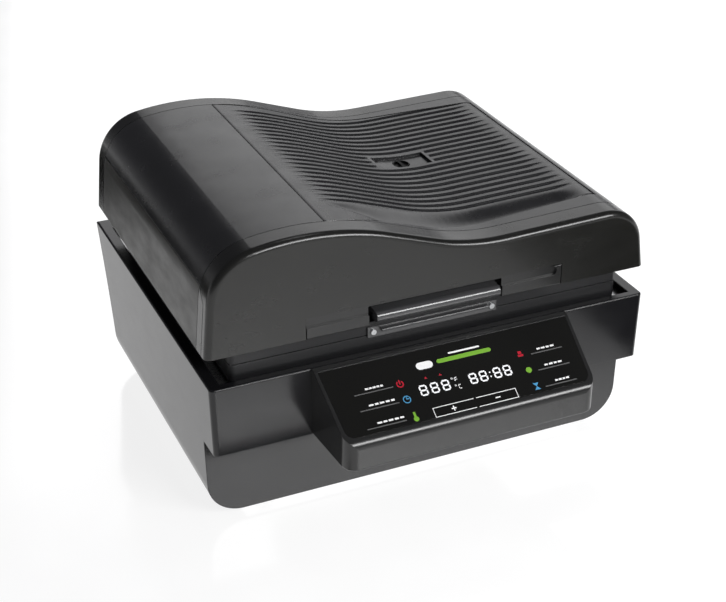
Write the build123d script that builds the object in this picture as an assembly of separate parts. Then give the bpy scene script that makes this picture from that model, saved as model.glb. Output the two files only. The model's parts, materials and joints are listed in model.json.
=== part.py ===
from build123d import *
from math import atan2, cos, degrees, radians, sin, tan
import os

# Bench-top vacuum heat press for sublimation on mugs and cases: a clamshell lid with infrared
# tubes, a silicone membrane in a hinged frame, and a base that holds the vacuum chamber.
# Millimetres. +Z up, front towards -Y, origin at the bottom centre of the closed machine.

# ---- driving dimensions: outside ----
FOOT_HEIGHT = 10.0
RIM_Z = 234.0
RIM_HALF = 318.5
BODY_HALF = 315.0
BODY_CORNER = 50.0
APRON_Y = -218.0
APRON_Z = 134.0
BODY_FRONT_Y = -173.0
REAR_Y = 317.0
REAR_FOOT_Y = 265.0
WALL = 3.5
LIP_X = 302.0
LIP_FRONT_Y = -206.0
LIP_REAR_Y = 284.0

LID_HALF = 320.0
LID_FRONT_Y = -211.0
LID_REAR_Y = 293.0
LID_Z = 274.0
LID_MID_Y = (LID_FRONT_Y + LID_REAR_Y) / 2
LID_SHOULDER_Z = 347.5
SHOULDER_RADIUS = 75.0
HUMP_RADIUS = 376.0
HUMP_RISE_DEG = 10.0
SLOPE_DEG = 18.7
SLOPE_LENGTH = 70.0
VALLEY_RADIUS = 291.0
FLAT_RISE_DEG = 1.5
FLAT_END_X = 256.46
CORNER_RADIUS = 56.0
CORNER_TURN = 83.0
LID_EDGE_RADIUS = 9.0
LID_SKIN = 4.0
CAP_WRAP = 35.0
COVER_SEAM_X = -143.0
RIBBED_END_X = 273.0
RIBBED_TAPER = 31.0
SEAM = 1.3
GROOVE_Y = -195.0
GROOVE_WIDTH = 1.4
GROOVE_DEPTH = 0.8
GROOVE_TURN_Z = 346.0
SIDE_PANEL_Z = 362.0

BEZEL_X0 = -185.0
BEZEL_X1 = 188.0
BEZEL_TOP_Z = 305.0
LEDGE_Z = 289.5
HANDLE_HALF = 90.0
HANDLE_POCKET_HALF = 97.0
HANDLE_POCKET_Y = -182.0
HANDLE_NOSE = (-221.0, 289.0)
HANDLE_NOSE_RISE = 3.9
HANDLE_SCOOP = (-199.0, 290.5)
HANDLE_BACK_Z = (279.0, 298.0)
HANDLE_UNDERCUT = (-198.0, 282.0)
POCKET = (37.0, 118.0, 47.0, 86.0)
POCKET_DEPTH = 4.0
VENT_SEAT_Z = 356.0
VENT_RADIUS = 12.0

RIB_PITCH = 16.0
RIB_COUNT = 22
RIB_FIRST_Y = -108.0
RIB_DEPTH = 2.4
RIB_GROOVE = 7.5
RIB_X = (-100.0, 240.0)

PANEL_X = 5.0
PANEL_HALF_TOP = 187.0
PANEL_HALF_LIP = 181.0
PANEL_TOP_Y = -226.0
PANEL_FRONT_Y = -321.0
PANEL_NOSE_RADIUS = 14.0
PANEL_FACE_DEG = 32.3
PANEL_BOTTOM_Z = 135.0
PANEL_CORNER = 18.0
PANEL_WALL = 4.0
GLASS = 2.0
GLASS_SIDE = 5.0
GLASS_TOP = 2.5
GLASS_BOTTOM = 2.5
GLASS_PLAY = 0.3

# ---- driving dimensions: chamber and membrane frame ----
CHAMBER_HALF_X = 215.0
CHAMBER_HALF_Y = 155.0
CHAMBER_FLOOR_Z = 120.0
DECK_Z = 222.0
SHEET = 1.5
FRAME_HALF_X = 285.0
FRAME_FRONT_Y = -198.0
FRAME_REAR_Y = 281.0
FRAME_Z = 234.0
MEMBRANE_Z = 252.0
FRAME_TOP_Z = 272.0
FRAME_OPEN_X = 224.0
FRAME_OPEN_Y = 164.0
FRAME_BOLT_X = 87.0
FRAME_BOLT_Z = 258.0

# ---- driving dimensions: hinge ----
HINGE_Y = 304.0
HINGE_Z = 262.0
HINGE_STATION_X = 200.0
PIN_RADIUS = 4.0
PIN_PLAY = 0.06
KNUCKLE_RADIUS = 8.0
EAR = 4.0

# ---- driving dimensions: rear service bay ----
BAY_HALF_X = 150.0
BAY_LOW_Z = 38.0
BAY_HIGH_Z = 152.0
BAY_Y = 253.5
REAR_PLATE_Y = 248.0
FAN_X = 80.0
FAN_Z = 95.0
FAN_SIZE = 92.0
INLET_X = -100.0
INLET_Z = 112.0
FUSE_Z = 66.0
ROCKER_X = -30.0
ROCKER_Z = 95.0
PLATE_TOP_Z = 12.0
TOUCH_BOARD_W = -11.0
ROCKER_PIVOT_Y = 246.0
ROCKER_THROW = 10.0

# ---- driving dimensions: cover bosses, heater and base equipment ----
FRONT_BOSSES = [(-309, -190), (309, -190)]
REAR_BOSSES = [(-309, 272), (309, 272)]
LEFT_BOSSES = [(-309, -60), (-309, 140)]
RIGHT_BOSSES = [(309, -60), (309, 140)]
COVER_BOSSES = FRONT_BOSSES + REAR_BOSSES + LEFT_BOSSES + RIGHT_BOSSES
TUBE_Z = 295.0
TUBE_RADIUS = 6.0
CASING_HALF_X = 242.0
CASING_HALF_Y = 182.0
CASING_TOP_Z = 346.0
REFLECTOR_HALF_X = 232.6
REFLECTOR_HALF_Y = 172.6
REFLECTOR_TOP_Z = 327.6
AIR_FAN_X = -150.0
PROBE_X = 110.0
PROBE_Z = 312.0
OUTLETS = [(60.0, 120.0), (140.0, 120.0)]
PUMP_Y = 60.0
PUMP_Z = 60.0
HOSE_BORE = 3.0
HOSE_RADIUS = 5.5
BOARD = (-170.0, -20.0, -150.0, -60.0)
BOARD_Z = 22.0

LOW = (Align.CENTER, Align.CENTER, Align.MIN)


def block(x0, x1, y0, y1, z0, z1):
    box = Box(x1 - x0, y1 - y0, z1 - z0)
    return Pos((x0 + x1) / 2, (y0 + y1) / 2, (z0 + z1) / 2) * box


def round_block(x0, x1, y0, y1, z0, z1, radius):
    """A block whose upright edges are rounded."""
    box = block(x0, x1, y0, y1, z0, z1)
    return fillet(box.edges().filter_by(Axis.Z), radius)


def rod_z(x, y, z, radius, length):
    return Pos(x, y, z) * Cylinder(radius, length, align=LOW)


def rod_y(x, y, z, radius, length):
    return Pos(x, y, z) * (Rot(-90, 0, 0) * Cylinder(radius, length, align=LOW))


def rod_x(x, y, z, radius, length):
    return Pos(x, y, z) * (Rot(0, 90, 0) * Cylinder(radius, length, align=LOW))


def screw_up(x, y, z, radius, head, length):
    """A pan-head screw driven upwards, head under z."""
    return rod_z(x, y, z, radius, length) + rod_z(x, y, z - head, 2 * radius, head)


def screw_down(x, y, z, radius, head, length):
    """A pan-head screw driven downwards, head on z."""
    return rod_z(x, y, z - length, radius, length) + rod_z(x, y, z, 2 * radius, head)


def screw_front(x, y, z, radius, head, length):
    """A pan-head screw driven towards +Y, head in front of y."""
    return rod_y(x, y, z, radius, length) + rod_y(x, y - head, z, 2 * radius, head)


def screw_rear(x, y, z, radius, head, length):
    """A pan-head screw driven towards -Y, head behind y."""
    return rod_y(x, y - length, z, radius, length) + rod_y(x, y, z, 2 * radius, head)


def group(solids):
    return Compound(children=list(solids))


def write(name, shape):
    export_step(shape, "parts/" + name + ".step")


# ---------------------------------------------------------------- lid covers

def lid_outline():
    """The lid's front view: hump on the left, valley on the right, as lines and arcs."""
    wall = Line((-LID_HALF, LID_Z), (-LID_HALF + 7, LID_SHOULDER_Z))
    lean = degrees(atan2(LID_SHOULDER_Z - LID_Z, 7))
    shoulder = JernArc(wall @ 1, wall % 1, SHOULDER_RADIUS, HUMP_RISE_DEG - lean)
    hump = JernArc(shoulder @ 1, shoulder % 1, HUMP_RADIUS, -HUMP_RISE_DEG - SLOPE_DEG)
    slope = Line(hump @ 1, hump @ 1 + SLOPE_LENGTH * (hump % 1))
    valley = JernArc(slope @ 1, slope % 1, VALLEY_RADIUS, SLOPE_DEG + FLAT_RISE_DEG)
    run = (FLAT_END_X - (valley @ 1).X) / (valley % 1).X
    flat = Line(valley @ 1, valley @ 1 + run * (valley % 1))
    corner = JernArc(flat @ 1, flat % 1, CORNER_RADIUS, -CORNER_TURN)
    drop = (LID_Z - (corner @ 1).Y) / (corner % 1).Y
    right = Line(corner @ 1, corner @ 1 + drop * (corner % 1))
    base = Line(right @ 1, wall @ 0)
    return [wall, shoulder, hump, slope, valley, flat, corner, right, base]


def lid_solid():
    face = Plane.XZ * make_face(lid_outline())
    solid = Pos(0, LID_REAR_Y, 0) * extrude(face, LID_REAR_Y - LID_FRONT_Y)
    ends = [edge for edge in solid.edges()
            if min(abs(edge.center().Y - LID_REAR_Y), abs(edge.center().Y - LID_FRONT_Y)) < 0.1]
    above = [edge for edge in ends if edge.center().Z > LID_Z + 1]
    return fillet(above, LID_EDGE_RADIUS)


def lid_cavity(solid):
    """The space inside the covers, open at the bottom."""
    inside = offset(solid, -LID_SKIN)
    mouth = extrude(inside.faces().sort_by(Axis.Z)[0], LID_SKIN + 1)
    return inside + mouth


def ribbed_region():
    """Plan of the ribbed cover: full depth at the seam, narrower at the right."""
    front = LID_FRONT_Y + CAP_WRAP + SEAM
    rear = LID_REAR_Y - CAP_WRAP - SEAM
    plan = Polygon(
        (COVER_SEAM_X, front), (RIBBED_END_X, front + RIBBED_TAPER),
        (RIBBED_END_X, rear - RIBBED_TAPER), (COVER_SEAM_X, rear), align=None)
    return Pos(0, 0, LID_Z) * extrude(plan, 200)


def below_top(depth, y0, y1):
    """Everything under a surface that follows the lid's top at the depth given."""
    face = Plane.XZ * make_face(lid_outline())
    return Pos(0, y1, -depth) * extrude(face, y1 - y0)


def rib_groove(y):
    """A long shallow groove that follows the cover's curve."""
    y0 = y - RIB_GROOVE / 2
    y1 = y + RIB_GROOVE / 2
    return block(*RIB_X, y0, y1, LID_Z, LID_Z + 200) - below_top(RIB_DEPTH, y0, y1)


def ribbed_cover(skin):
    """The grooved cover with a shallow pocket, and in it a round seat for the vent cap."""
    x0, x1, y0, y1 = POCKET
    x, y = pocket_centre()
    tub = block(x0 - 3, x1 + 3, y0 - 3, y1 + 3, LID_Z, LID_Z + 200) & below_top(1, y0 - 3, y1 + 3)
    tub = tub - below_top(POCKET_DEPTH + 3, y0 - 3, y1 + 3)
    tub = tub + rod_z(x, y, VENT_SEAT_Z - 3, VENT_RADIUS + 3, 5)
    pocket = block(x0, x1, y0, y1, LID_Z, LID_Z + 200) - below_top(POCKET_DEPTH, y0, y1)
    seat = rod_z(x, y, VENT_SEAT_Z, VENT_RADIUS + 0.2, 40)
    grooves = [rib_groove(RIB_FIRST_Y + i * RIB_PITCH) for i in range(RIB_COUNT)]
    return (skin - grooves) + tub - pocket - seat


def pocket_centre():
    return (POCKET[0] + POCKET[1]) / 2, (POCKET[2] + POCKET[3]) / 2


def vent_cap():
    """Round cap sunk in the pocket, with two finger recesses beside a bar."""
    x, y = pocket_centre()
    cap = rod_z(x, y, VENT_SEAT_Z, VENT_RADIUS, 3.5)
    cap = fillet(cap.edges().group_by(Axis.Z)[-1], 0.8)
    bar = block(x - 2.2, x + 2.2, y - 15, y + 15, VENT_SEAT_Z, VENT_SEAT_Z + 10)
    return cap - (rod_z(x, y, VENT_SEAT_Z + 1, VENT_RADIUS - 1.5, 5) - bar)


def lid_covers():
    solid = lid_solid()
    skin = solid - lid_cavity(solid)
    cap_front = LID_FRONT_Y + CAP_WRAP
    cap_rear = LID_REAR_Y - CAP_WRAP
    far = 2 * LID_HALF
    front = skin & block(-far, far, LID_FRONT_Y - 1, cap_front, 0, 500)
    rear = skin & block(-far, far, cap_rear, LID_REAR_Y + 1, 0, 500)
    middle = skin & block(-far, far, cap_front + SEAM, cap_rear - SEAM, 0, 500)
    left_side = middle & block(-far, -250, -far, far, 0, SIDE_PANEL_Z)
    left_top = middle & block(-far, COVER_SEAM_X - SEAM, -far, far, SIDE_PANEL_Z + SEAM, 500)
    ribbed = middle & ribbed_region()
    right = middle & block(COVER_SEAM_X + 30, far, -far, far, 0, 500)
    right = right - grown_ribbed_region()
    return front, rear, left_side, left_top, ribbed, right


def grown_ribbed_region():
    front = LID_FRONT_Y + CAP_WRAP
    rear = LID_REAR_Y - CAP_WRAP
    slope = RIBBED_TAPER / (RIBBED_END_X - COVER_SEAM_X)
    end = RIBBED_END_X + SEAM
    taper = slope * (end - COVER_SEAM_X) - SEAM
    plan = Polygon(
        (COVER_SEAM_X, front - SEAM), (end, front + taper),
        (end, rear - taper), (COVER_SEAM_X, rear + SEAM), align=None)
    return Pos(0, 0, LID_Z - 50) * extrude(plan, 300)


def corner_groove():
    """Fine groove down the cap's left wall that turns back to meet the side panel's seam."""
    low = LID_Z - 1
    back = LID_FRONT_Y + CAP_WRAP + 1
    inner = GROOVE_Y + GROOVE_WIDTH
    line = Polyline((GROOVE_Y, low), (GROOVE_Y, GROOVE_TURN_Z), (back, SIDE_PANEL_Z + GROOVE_WIDTH),
                    (back, SIDE_PANEL_Z), (inner, GROOVE_TURN_Z - GROOVE_WIDTH / 2), (inner, low),
                    (GROOVE_Y, low))
    strip = Pos(-LID_HALF - 5, 0, 0) * extrude(Plane.YZ * make_face(line), 40)
    solid = lid_solid()
    return strip & (solid - Pos(GROOVE_DEPTH, 0, 0) * solid)


def cut_front_cap(cap):
    """Leave room in the front cap for the bezel and cut the corner groove."""
    room = block(BEZEL_X0, BEZEL_X1, LID_FRONT_Y - 1, LID_FRONT_Y + 40, LID_Z - 1, BEZEL_TOP_Z)
    return cap - room - corner_groove()


def front_bezel():
    """Insert in the front cap: a ledge with a slot above it and a pocket for the handle."""
    x0 = BEZEL_X0 + SEAM
    x1 = BEZEL_X1 - SEAM
    top = BEZEL_TOP_Z - SEAM
    body = block(x0, x1, LID_FRONT_Y, LID_FRONT_Y + 8, LID_Z, top)
    slot = block(x0 - 1, x1 - 14, LID_FRONT_Y - 1, LID_FRONT_Y + 3.5, LEDGE_Z, top + 1)
    end = rod_y(x1 - 14, LID_FRONT_Y - 1, (LEDGE_Z + top) / 2, (top - LEDGE_Z) / 2, 4.5)
    tub = block(-HANDLE_POCKET_HALF - 3, HANDLE_POCKET_HALF + 3,
                LID_FRONT_Y, HANDLE_POCKET_Y + 3, LID_Z + 4, top)
    pocket = block(-HANDLE_POCKET_HALF, HANDLE_POCKET_HALF,
                   LID_FRONT_Y - 1, HANDLE_POCKET_Y, LID_Z - 1, top - 3)
    body = fillet(body.edges().filter_by(Axis.X).group_by(Axis.Y)[0], 1.5)
    return (body + tub) - slot - end - pocket


def lid_handle():
    """Pull along the lid's front edge: a scooped top, a round nose and an undercut."""
    nose_y, nose_z = HANDLE_NOSE
    low, high = HANDLE_BACK_Z
    back = HANDLE_POCKET_Y - 0.1
    brow = (nose_y + 3, nose_z + HANDLE_NOSE_RISE)
    chin = (nose_y + 3, nose_z - HANDLE_NOSE_RISE)
    top = ThreePointArc((back, high), HANDLE_SCOOP, brow)
    nose = ThreePointArc(brow, HANDLE_NOSE, chin)
    under = Line(chin, HANDLE_UNDERCUT)
    heel = Line(HANDLE_UNDERCUT, (back, low))
    spine = Line((back, low), (back, high))
    face = Plane.YZ * make_face([top, nose, under, heel, spine])
    return Pos(-HANDLE_HALF, 0, 0) * extrude(face, 2 * HANDLE_HALF)


def cover_bosses(spots):
    """Screw bosses along the covers' lower edges."""
    return [rod_z(x, y, 278, 6, 22) for x, y in spots]


def cover_boss_holes(spots):
    return [rod_z(x, y, 270, 1.9, 24) for x, y in spots]


def with_bosses(cover, spots):
    return (cover + cover_bosses(spots)) - cover_boss_holes(spots)


def leaf_screw_spots():
    return [(s + dx, z) for s in stations() for dx in (-32, 17) for z in (290, 318)]


def rear_cap_with_holes(cap):
    return cap - [rod_y(x, LID_REAR_Y - 10, z, 2, 12) for x, z in leaf_screw_spots()]


# ---------------------------------------------------------------- lid inside


def lid_tray():
    """Steel plate across the lid's mouth that carries the covers and the heater."""
    plate = block(-312, 312, -202, 288, 276, 278)
    notch = block(-102, 102, -203, HANDLE_POCKET_Y + 4, 275, 279)
    mouth = block(-REFLECTOR_HALF_X, REFLECTOR_HALF_X,
                  LID_MID_Y - REFLECTOR_HALF_Y, LID_MID_Y + REFLECTOR_HALF_Y, 275, 279)
    holes = [rod_z(x, y, 275, 2.2, 4) for x, y in COVER_BOSSES]
    return plate - notch - mouth - holes


def lid_cover_screws():
    return [screw_up(x, y, 276, 1.9, 1.8, 18) for x, y in COVER_BOSSES]


def probe_hole():
    return rod_y(PROBE_X, -160, PROBE_Z, 2.6, 60)


def heater_casing():
    """Sheet-steel box, open below, over the insulated heater."""
    x = CASING_HALF_X
    y = CASING_HALF_Y
    box = block(-x, x, LID_MID_Y - y, LID_MID_Y + y, 278, CASING_TOP_Z)
    flange = block(-x - 14, x + 14, LID_MID_Y - y - 14, LID_MID_Y + y + 14, 278, 279.2)
    inside = block(-x + 1.2, x - 1.2, LID_MID_Y - y + 1.2, LID_MID_Y + y - 1.2, 277, CASING_TOP_Z - 1.2)
    return (box + flange) - inside - rod_z(AIR_FAN_X, LID_MID_Y, 340, 9, 10) - probe_hole()


def insulation():
    x = CASING_HALF_X - 1.3
    y = CASING_HALF_Y - 1.3
    wool = block(-x, x, LID_MID_Y - y, LID_MID_Y + y, 280, CASING_TOP_Z - 1.3)
    inside = block(-REFLECTOR_HALF_X - 0.1, REFLECTOR_HALF_X + 0.1,
                   LID_MID_Y - REFLECTOR_HALF_Y - 0.1, LID_MID_Y + REFLECTOR_HALF_Y + 0.1,
                   279, REFLECTOR_TOP_Z + 0.1)
    return wool - inside - rod_z(AIR_FAN_X, LID_MID_Y, 320, 12, 40) - probe_hole()


def reflector():
    x = REFLECTOR_HALF_X
    y = REFLECTOR_HALF_Y
    pan = round_block(-x, x, LID_MID_Y - y, LID_MID_Y + y, 279.2, REFLECTOR_TOP_Z, 3)
    inside = round_block(-x + 0.8, x - 0.8, LID_MID_Y - y + 0.8, LID_MID_Y + y - 0.8,
                         279, REFLECTOR_TOP_Z - 0.8, 2.2)
    return pan - inside - rod_z(AIR_FAN_X, LID_MID_Y, 320, 8, 10) - probe_hole()


def tube_rows():
    return [LID_MID_Y + row * 60 for row in (-2, -1, 0, 1, 2)]


def heater_tubes():
    """Quartz infrared tubes across the heater."""
    return group(rod_x(-226, y, TUBE_Z, TUBE_RADIUS, 452) for y in tube_rows())


def tube_holders():
    """Ceramic blocks that hold both ends of each tube."""
    blocks = []
    for y in tube_rows():
        for x0, x1 in ((-231.7, -220), (220, 231.7)):
            blocks.append(block(x0, x1, y - 11, y + 11, 285, 306) - rod_x(-226, y, TUBE_Z, 6.05, 452))
    return group(blocks)


def heater_guard():
    """Crossed-wire grille under the tubes."""
    radius = 1.3
    half_x = 228.0
    half_y = 168.0
    y0 = LID_MID_Y - half_y
    across = [rod_x(-half_x, LID_MID_Y + k * 28, 281.2, radius, 2 * half_x) for k in range(-6, 7)]
    along = [rod_y(k * 42, y0, 283.2, radius, 2 * half_y) for k in range(-5, 6)]
    rails = [block(x - 1.5, x + 1.5, y0 - 1.5, y0 + 2 * half_y + 1.5, 279.9, 282.5)
             for x in (-half_x, half_x)]
    return across[0] + across[1:] + along + rails


def circulation_motor():
    """Motor under the hump that turns the air impeller."""
    body = rod_z(AIR_FAN_X, LID_MID_Y, CASING_TOP_Z, 30, 42)
    body = fillet(body.edges().group_by(Axis.Z)[-1], 4)
    feet = block(AIR_FAN_X - 42, AIR_FAN_X + 42, LID_MID_Y - 9, LID_MID_Y + 9,
                 CASING_TOP_Z, CASING_TOP_Z + 2.5)
    return body + feet - rod_z(AIR_FAN_X, LID_MID_Y, 340, PIN_RADIUS + PIN_PLAY, 30)


def circulation_fan():
    """Shaft and radial impeller above the tubes."""
    shaft = rod_z(AIR_FAN_X, LID_MID_Y, 306, PIN_RADIUS, 62)
    hub = rod_z(AIR_FAN_X, LID_MID_Y, 306, 10, 16)
    disc = rod_z(AIR_FAN_X, LID_MID_Y, 321, 52, 1.5)
    blade = Pos(32, 0, 315) * (Rot(0, 0, 25) * Box(36, 2, 12))
    blades = [Pos(AIR_FAN_X, LID_MID_Y, 0) * (Rot(0, 0, 45 * k) * blade) for k in range(8)]
    return shaft + hub + disc + blades


def temperature_probe():
    head = -CASING_HALF_Y + LID_MID_Y
    stem = rod_y(PROBE_X, head, PROBE_Z, 2.5, 62)
    nut = extrude(Plane.XZ * RegularPolygon(6, 6), 8)
    return stem + Pos(PROBE_X, head, PROBE_Z) * nut


def thermal_cutout():
    disc = rod_z(180, LID_MID_Y, CASING_TOP_Z, 8, 6)
    ears = block(168, 192, LID_MID_Y - 3, LID_MID_Y + 3, CASING_TOP_Z, CASING_TOP_Z + 1)
    tabs = [block(x - 0.4, x + 0.4, LID_MID_Y - 3, LID_MID_Y + 3, CASING_TOP_Z + 5, CASING_TOP_Z + 10)
            for x in (176, 184)]
    return disc + ears + tabs


# ---------------------------------------------------------------- membrane frame

def frame_ring(z0, z1, skirt_z, flat_low, flat_high, press):
    """A pressed channel: outer skirt, inner press ring, and a flat between them."""
    outer = round_block(-FRAME_HALF_X, FRAME_HALF_X, FRAME_FRONT_Y, FRAME_REAR_Y, skirt_z, z1, 8)
    inner = round_block(-FRAME_OPEN_X, FRAME_OPEN_X,
                        LID_MID_Y - FRAME_OPEN_Y, LID_MID_Y + FRAME_OPEN_Y, skirt_z - 1, z1 + 1, 16)
    below = block(-FRAME_OPEN_X - press, FRAME_OPEN_X + press, LID_MID_Y - FRAME_OPEN_Y - press,
                  LID_MID_Y + FRAME_OPEN_Y + press, skirt_z - 1, z0)
    hollow = round_block(-FRAME_HALF_X + 3.5, FRAME_HALF_X - 3.5,
                         FRAME_FRONT_Y + 3.5, FRAME_REAR_Y - 3.5, flat_low, flat_high, 5)
    core = block(-FRAME_OPEN_X - press, FRAME_OPEN_X + press, LID_MID_Y - FRAME_OPEN_Y - press,
                 LID_MID_Y + FRAME_OPEN_Y + press, skirt_z - 1, z1 + 1)
    return outer - inner - below - (hollow - core)


def frame_screw_spots():
    sides = [(x, y) for x in (-260, 260) for y in (-60, 60, 160)]
    ends = [(x, y) for y in (-165, 248) for x in (-260, -130, 0, 130, 260)]
    return sides + ends


def frame_holes(radius):
    return [rod_z(x, y, 220, radius, 60) for x, y in frame_screw_spots()]


def rear_arm_spots():
    return [(s + 10 + dx, 246) for s in stations() for dx in (-14, 14)]


def lower_frame():
    ring = frame_ring(FRAME_Z, MEMBRANE_Z, 228, 227, MEMBRANE_Z - 3, 12)
    rear = [rod_y(x, FRAME_REAR_Y - 5, z, 1.9, 6) for x, z in rear_arm_spots()]
    return ring - frame_holes(2.0) - rear


def upper_frame():
    ring = frame_ring(MEMBRANE_Z + 1.2, FRAME_TOP_Z, MEMBRANE_Z + 1.2, 253, FRAME_TOP_Z - 3, 4)
    top = ring.faces().sort_by(Axis.Z)[-1]
    front = [rod_y(x, FRAME_FRONT_Y - 1, FRAME_BOLT_Z, 1.9, 6) for x in (-FRAME_BOLT_X, FRAME_BOLT_X)]
    return fillet(top.outer_wire().edges(), 1.5) - frame_holes(2.1) - front


def silicone_membrane():
    sheet = block(-283, 283, FRAME_FRONT_Y + 2, FRAME_REAR_Y - 2, MEMBRANE_Z, MEMBRANE_Z + 1.2)
    return sheet - frame_holes(2.1)


def frame_screws():
    return [screw_down(x, y, FRAME_TOP_Z, 2.0, 1.5, 24) for x, y in frame_screw_spots()]


def frame_handle():
    """Lip across the frame's front for lifting it."""
    face = FRAME_FRONT_Y - 3
    half = FRAME_BOLT_X + 8
    plate = round_block(-half, half, face, FRAME_FRONT_Y, FRAME_BOLT_Z - 8, FRAME_BOLT_Z + 7, 1)
    lip = block(-78, 78, FRAME_FRONT_Y - 12, FRAME_FRONT_Y, FRAME_BOLT_Z + 2.5, FRAME_BOLT_Z + 6)
    lip = fillet(lip.edges().filter_by(Axis.X).group_by(Axis.Y)[0], 1.6)
    holes = [rod_y(x, face - 2, FRAME_BOLT_Z, 1.95, 6) for x in (-FRAME_BOLT_X, FRAME_BOLT_X)]
    return plate + lip - holes


def frame_handle_bolts():
    face = FRAME_FRONT_Y - 3
    return [screw_front(x, face, FRAME_BOLT_Z, 1.9, 2.5, 7) for x in (-FRAME_BOLT_X, FRAME_BOLT_X)]


def frame_hinge_arm(s):
    """Bracket from the frame's rear face to its knuckle on the shared pin."""
    plate = block(s - 12, s + 32, FRAME_REAR_Y, FRAME_REAR_Y + 3, 238, 268)
    arm = block(s + 1.5, s + 18, FRAME_REAR_Y, HINGE_Y, HINGE_Z - 6, HINGE_Z + 6)
    knuckle = rod_x(s + 1.5, HINGE_Y, HINGE_Z, KNUCKLE_RADIUS, 16.5)
    bore = rod_x(s, HINGE_Y, HINGE_Z, PIN_RADIUS + PIN_PLAY, 20)
    holes = [rod_y(s + 10 + dx, FRAME_REAR_Y - 1, 246, 1.95, 6) for dx in (-14, 14)]
    return plate + arm + knuckle - bore - holes


def frame_arm_screws():
    return [screw_rear(x, FRAME_REAR_Y + 3, z, 1.9, 2.0, 7) for x, z in rear_arm_spots()]


# ---------------------------------------------------------------- hinge

def stations():
    return (-HINGE_STATION_X, HINGE_STATION_X)


def lid_hinge_leaf(s):
    """Plate on the rear cap with a knuckle on the shared pin."""
    plate = round_block(s - 40, s + 25, LID_REAR_Y, LID_REAR_Y + 3, 279, 330, 1)
    neck = block(s - 18, s + 0.5, LID_REAR_Y, LID_REAR_Y + 7, HINGE_Z - 5, 284)
    knuckle = rod_x(s - 18, HINGE_Y, HINGE_Z, KNUCKLE_RADIUS, 18.5)
    bore = rod_x(s - 20, HINGE_Y, HINGE_Z, PIN_RADIUS + PIN_PLAY, 22)
    holes = [rod_y(x, LID_REAR_Y - 1, z, 2, 6) for x, z in leaf_screw_spots()]
    return plate + neck + knuckle - bore - holes


def lid_hinge_screws():
    return [screw_rear(x, LID_REAR_Y + 3, z, 2.0, 2.2, 7) for x, z in leaf_screw_spots()]


def bracket_screw_spots():
    return [(s + dx, y) for s in stations() for dx in (-11, 11) for y in (292, 310)]


def hinge_bracket(s):
    """Base bracket: a plate on the rear rim and two ears that carry the pin."""
    plate = round_block(s - 30, s + 30, 286, 315, RIM_Z, RIM_Z + 3, 4)
    ears = []
    for x in (s - 19 - EAR, s + 19):
        web = block(x, x + EAR, HINGE_Y - 9, HINGE_Y + 9, RIM_Z + 2, HINGE_Z)
        ears.append(web + rod_x(x, HINGE_Y, HINGE_Z, 9, EAR))
    holes = [rod_z(x, y, RIM_Z - 1, 2.0, 6) for x, y in bracket_screw_spots()]
    return plate + ears - rod_x(s - 40, HINGE_Y, HINGE_Z, PIN_RADIUS, 80) - holes


def hinge_pin(s):
    shaft = rod_x(s - 26, HINGE_Y, HINGE_Z, PIN_RADIUS, 52)
    head = rod_x(s - 26, HINGE_Y, HINGE_Z, 6.5, 3)
    clip = rod_x(s + 23.2, HINGE_Y, HINGE_Z, 6, 1)
    return shaft + head + clip


def hinge_bracket_screws():
    return [screw_down(x, y, RIM_Z + 3, 2.0, 2.0, 8) for x, y in bracket_screw_spots()]


# ---------------------------------------------------------------- base

def base_front_view(inset):
    """Walls with a slight draft and large round lower corners."""
    corner_z = FOOT_HEIGHT + BODY_CORNER
    radius = BODY_CORNER - inset
    wall = BODY_HALF - inset
    floor_half = BODY_HALF - BODY_CORNER
    top_half = RIM_HALF - inset
    right = Line((top_half, RIM_Z - inset), (wall, corner_z))
    lower_right = RadiusArc(right @ 1, (floor_half, FOOT_HEIGHT + inset), radius)
    floor = Line(lower_right @ 1, (-floor_half, FOOT_HEIGHT + inset))
    lower_left = RadiusArc(floor @ 1, (-wall, corner_z), radius)
    left = Line(lower_left @ 1, (-top_half, RIM_Z - inset))
    top = Line(left @ 1, right @ 0)
    return Plane.XZ * make_face([right, lower_right, floor, lower_left, left, top])


def base_side_view(inset):
    """Apron in front, undercut below it, and a rear wall that leans in towards its foot."""
    top = RIM_Z - inset
    front = BODY_FRONT_Y + inset
    apron = Polyline((REAR_Y - inset, top), (APRON_Y + inset, top), (APRON_Y + inset, APRON_Z + inset),
                     (front, APRON_Z - 2 + inset), (front, FOOT_HEIGHT + inset),
                     (REAR_FOOT_Y - inset, FOOT_HEIGHT + inset))
    rear = ThreePointArc((REAR_FOOT_Y - inset, FOOT_HEIGHT + inset), (286 - inset, 125),
                         (REAR_Y - inset, top))
    return Plane.YZ * make_face(apron + rear)


def base_blank(inset):
    along = Pos(0, REAR_Y + 1, 0) * extrude(base_front_view(inset), REAR_Y - APRON_Y + 2)
    across = Pos(-400, 0, 0) * extrude(base_side_view(inset), 800)
    return along & across


def rounded_base(solid):
    upright = [edge for edge in solid.edges()
               if edge.length > 60 and edge.center().Y < APRON_Y + 1 and abs(edge.center().X) > 300]
    solid = fillet(upright, 7)
    rim = [edge for edge in solid.edges() if abs(edge.center().Z - RIM_Z) < 0.01]
    return fillet(rim, 2.5)


def bay_pocket(grow):
    return block(-BAY_HALF_X - grow, BAY_HALF_X + grow, BAY_Y - grow, REAR_Y + 10,
                 BAY_LOW_Z - grow, BAY_HIGH_Z + grow)


def deck_posts():
    sides = [block(x0, x1, y - 7, y + 7, 190, DECK_Z) for x0, x1 in ((-317, -298), (298, 317))
             for y in (-150, 60, 260)]
    return sides


def plate_screw_spots():
    sides = [(x, y) for x in (-254, 254) for y in (-110, 40, 190)]
    return sides + [(x, y) for y in (-162, 244) for x in (-140, 140)]


def rear_plate_spots():
    sides = [(x, z) for x in (-146, 146) for z in (42, 95, 148)]
    return sides + [(0, 42), (0, 148)]


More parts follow.
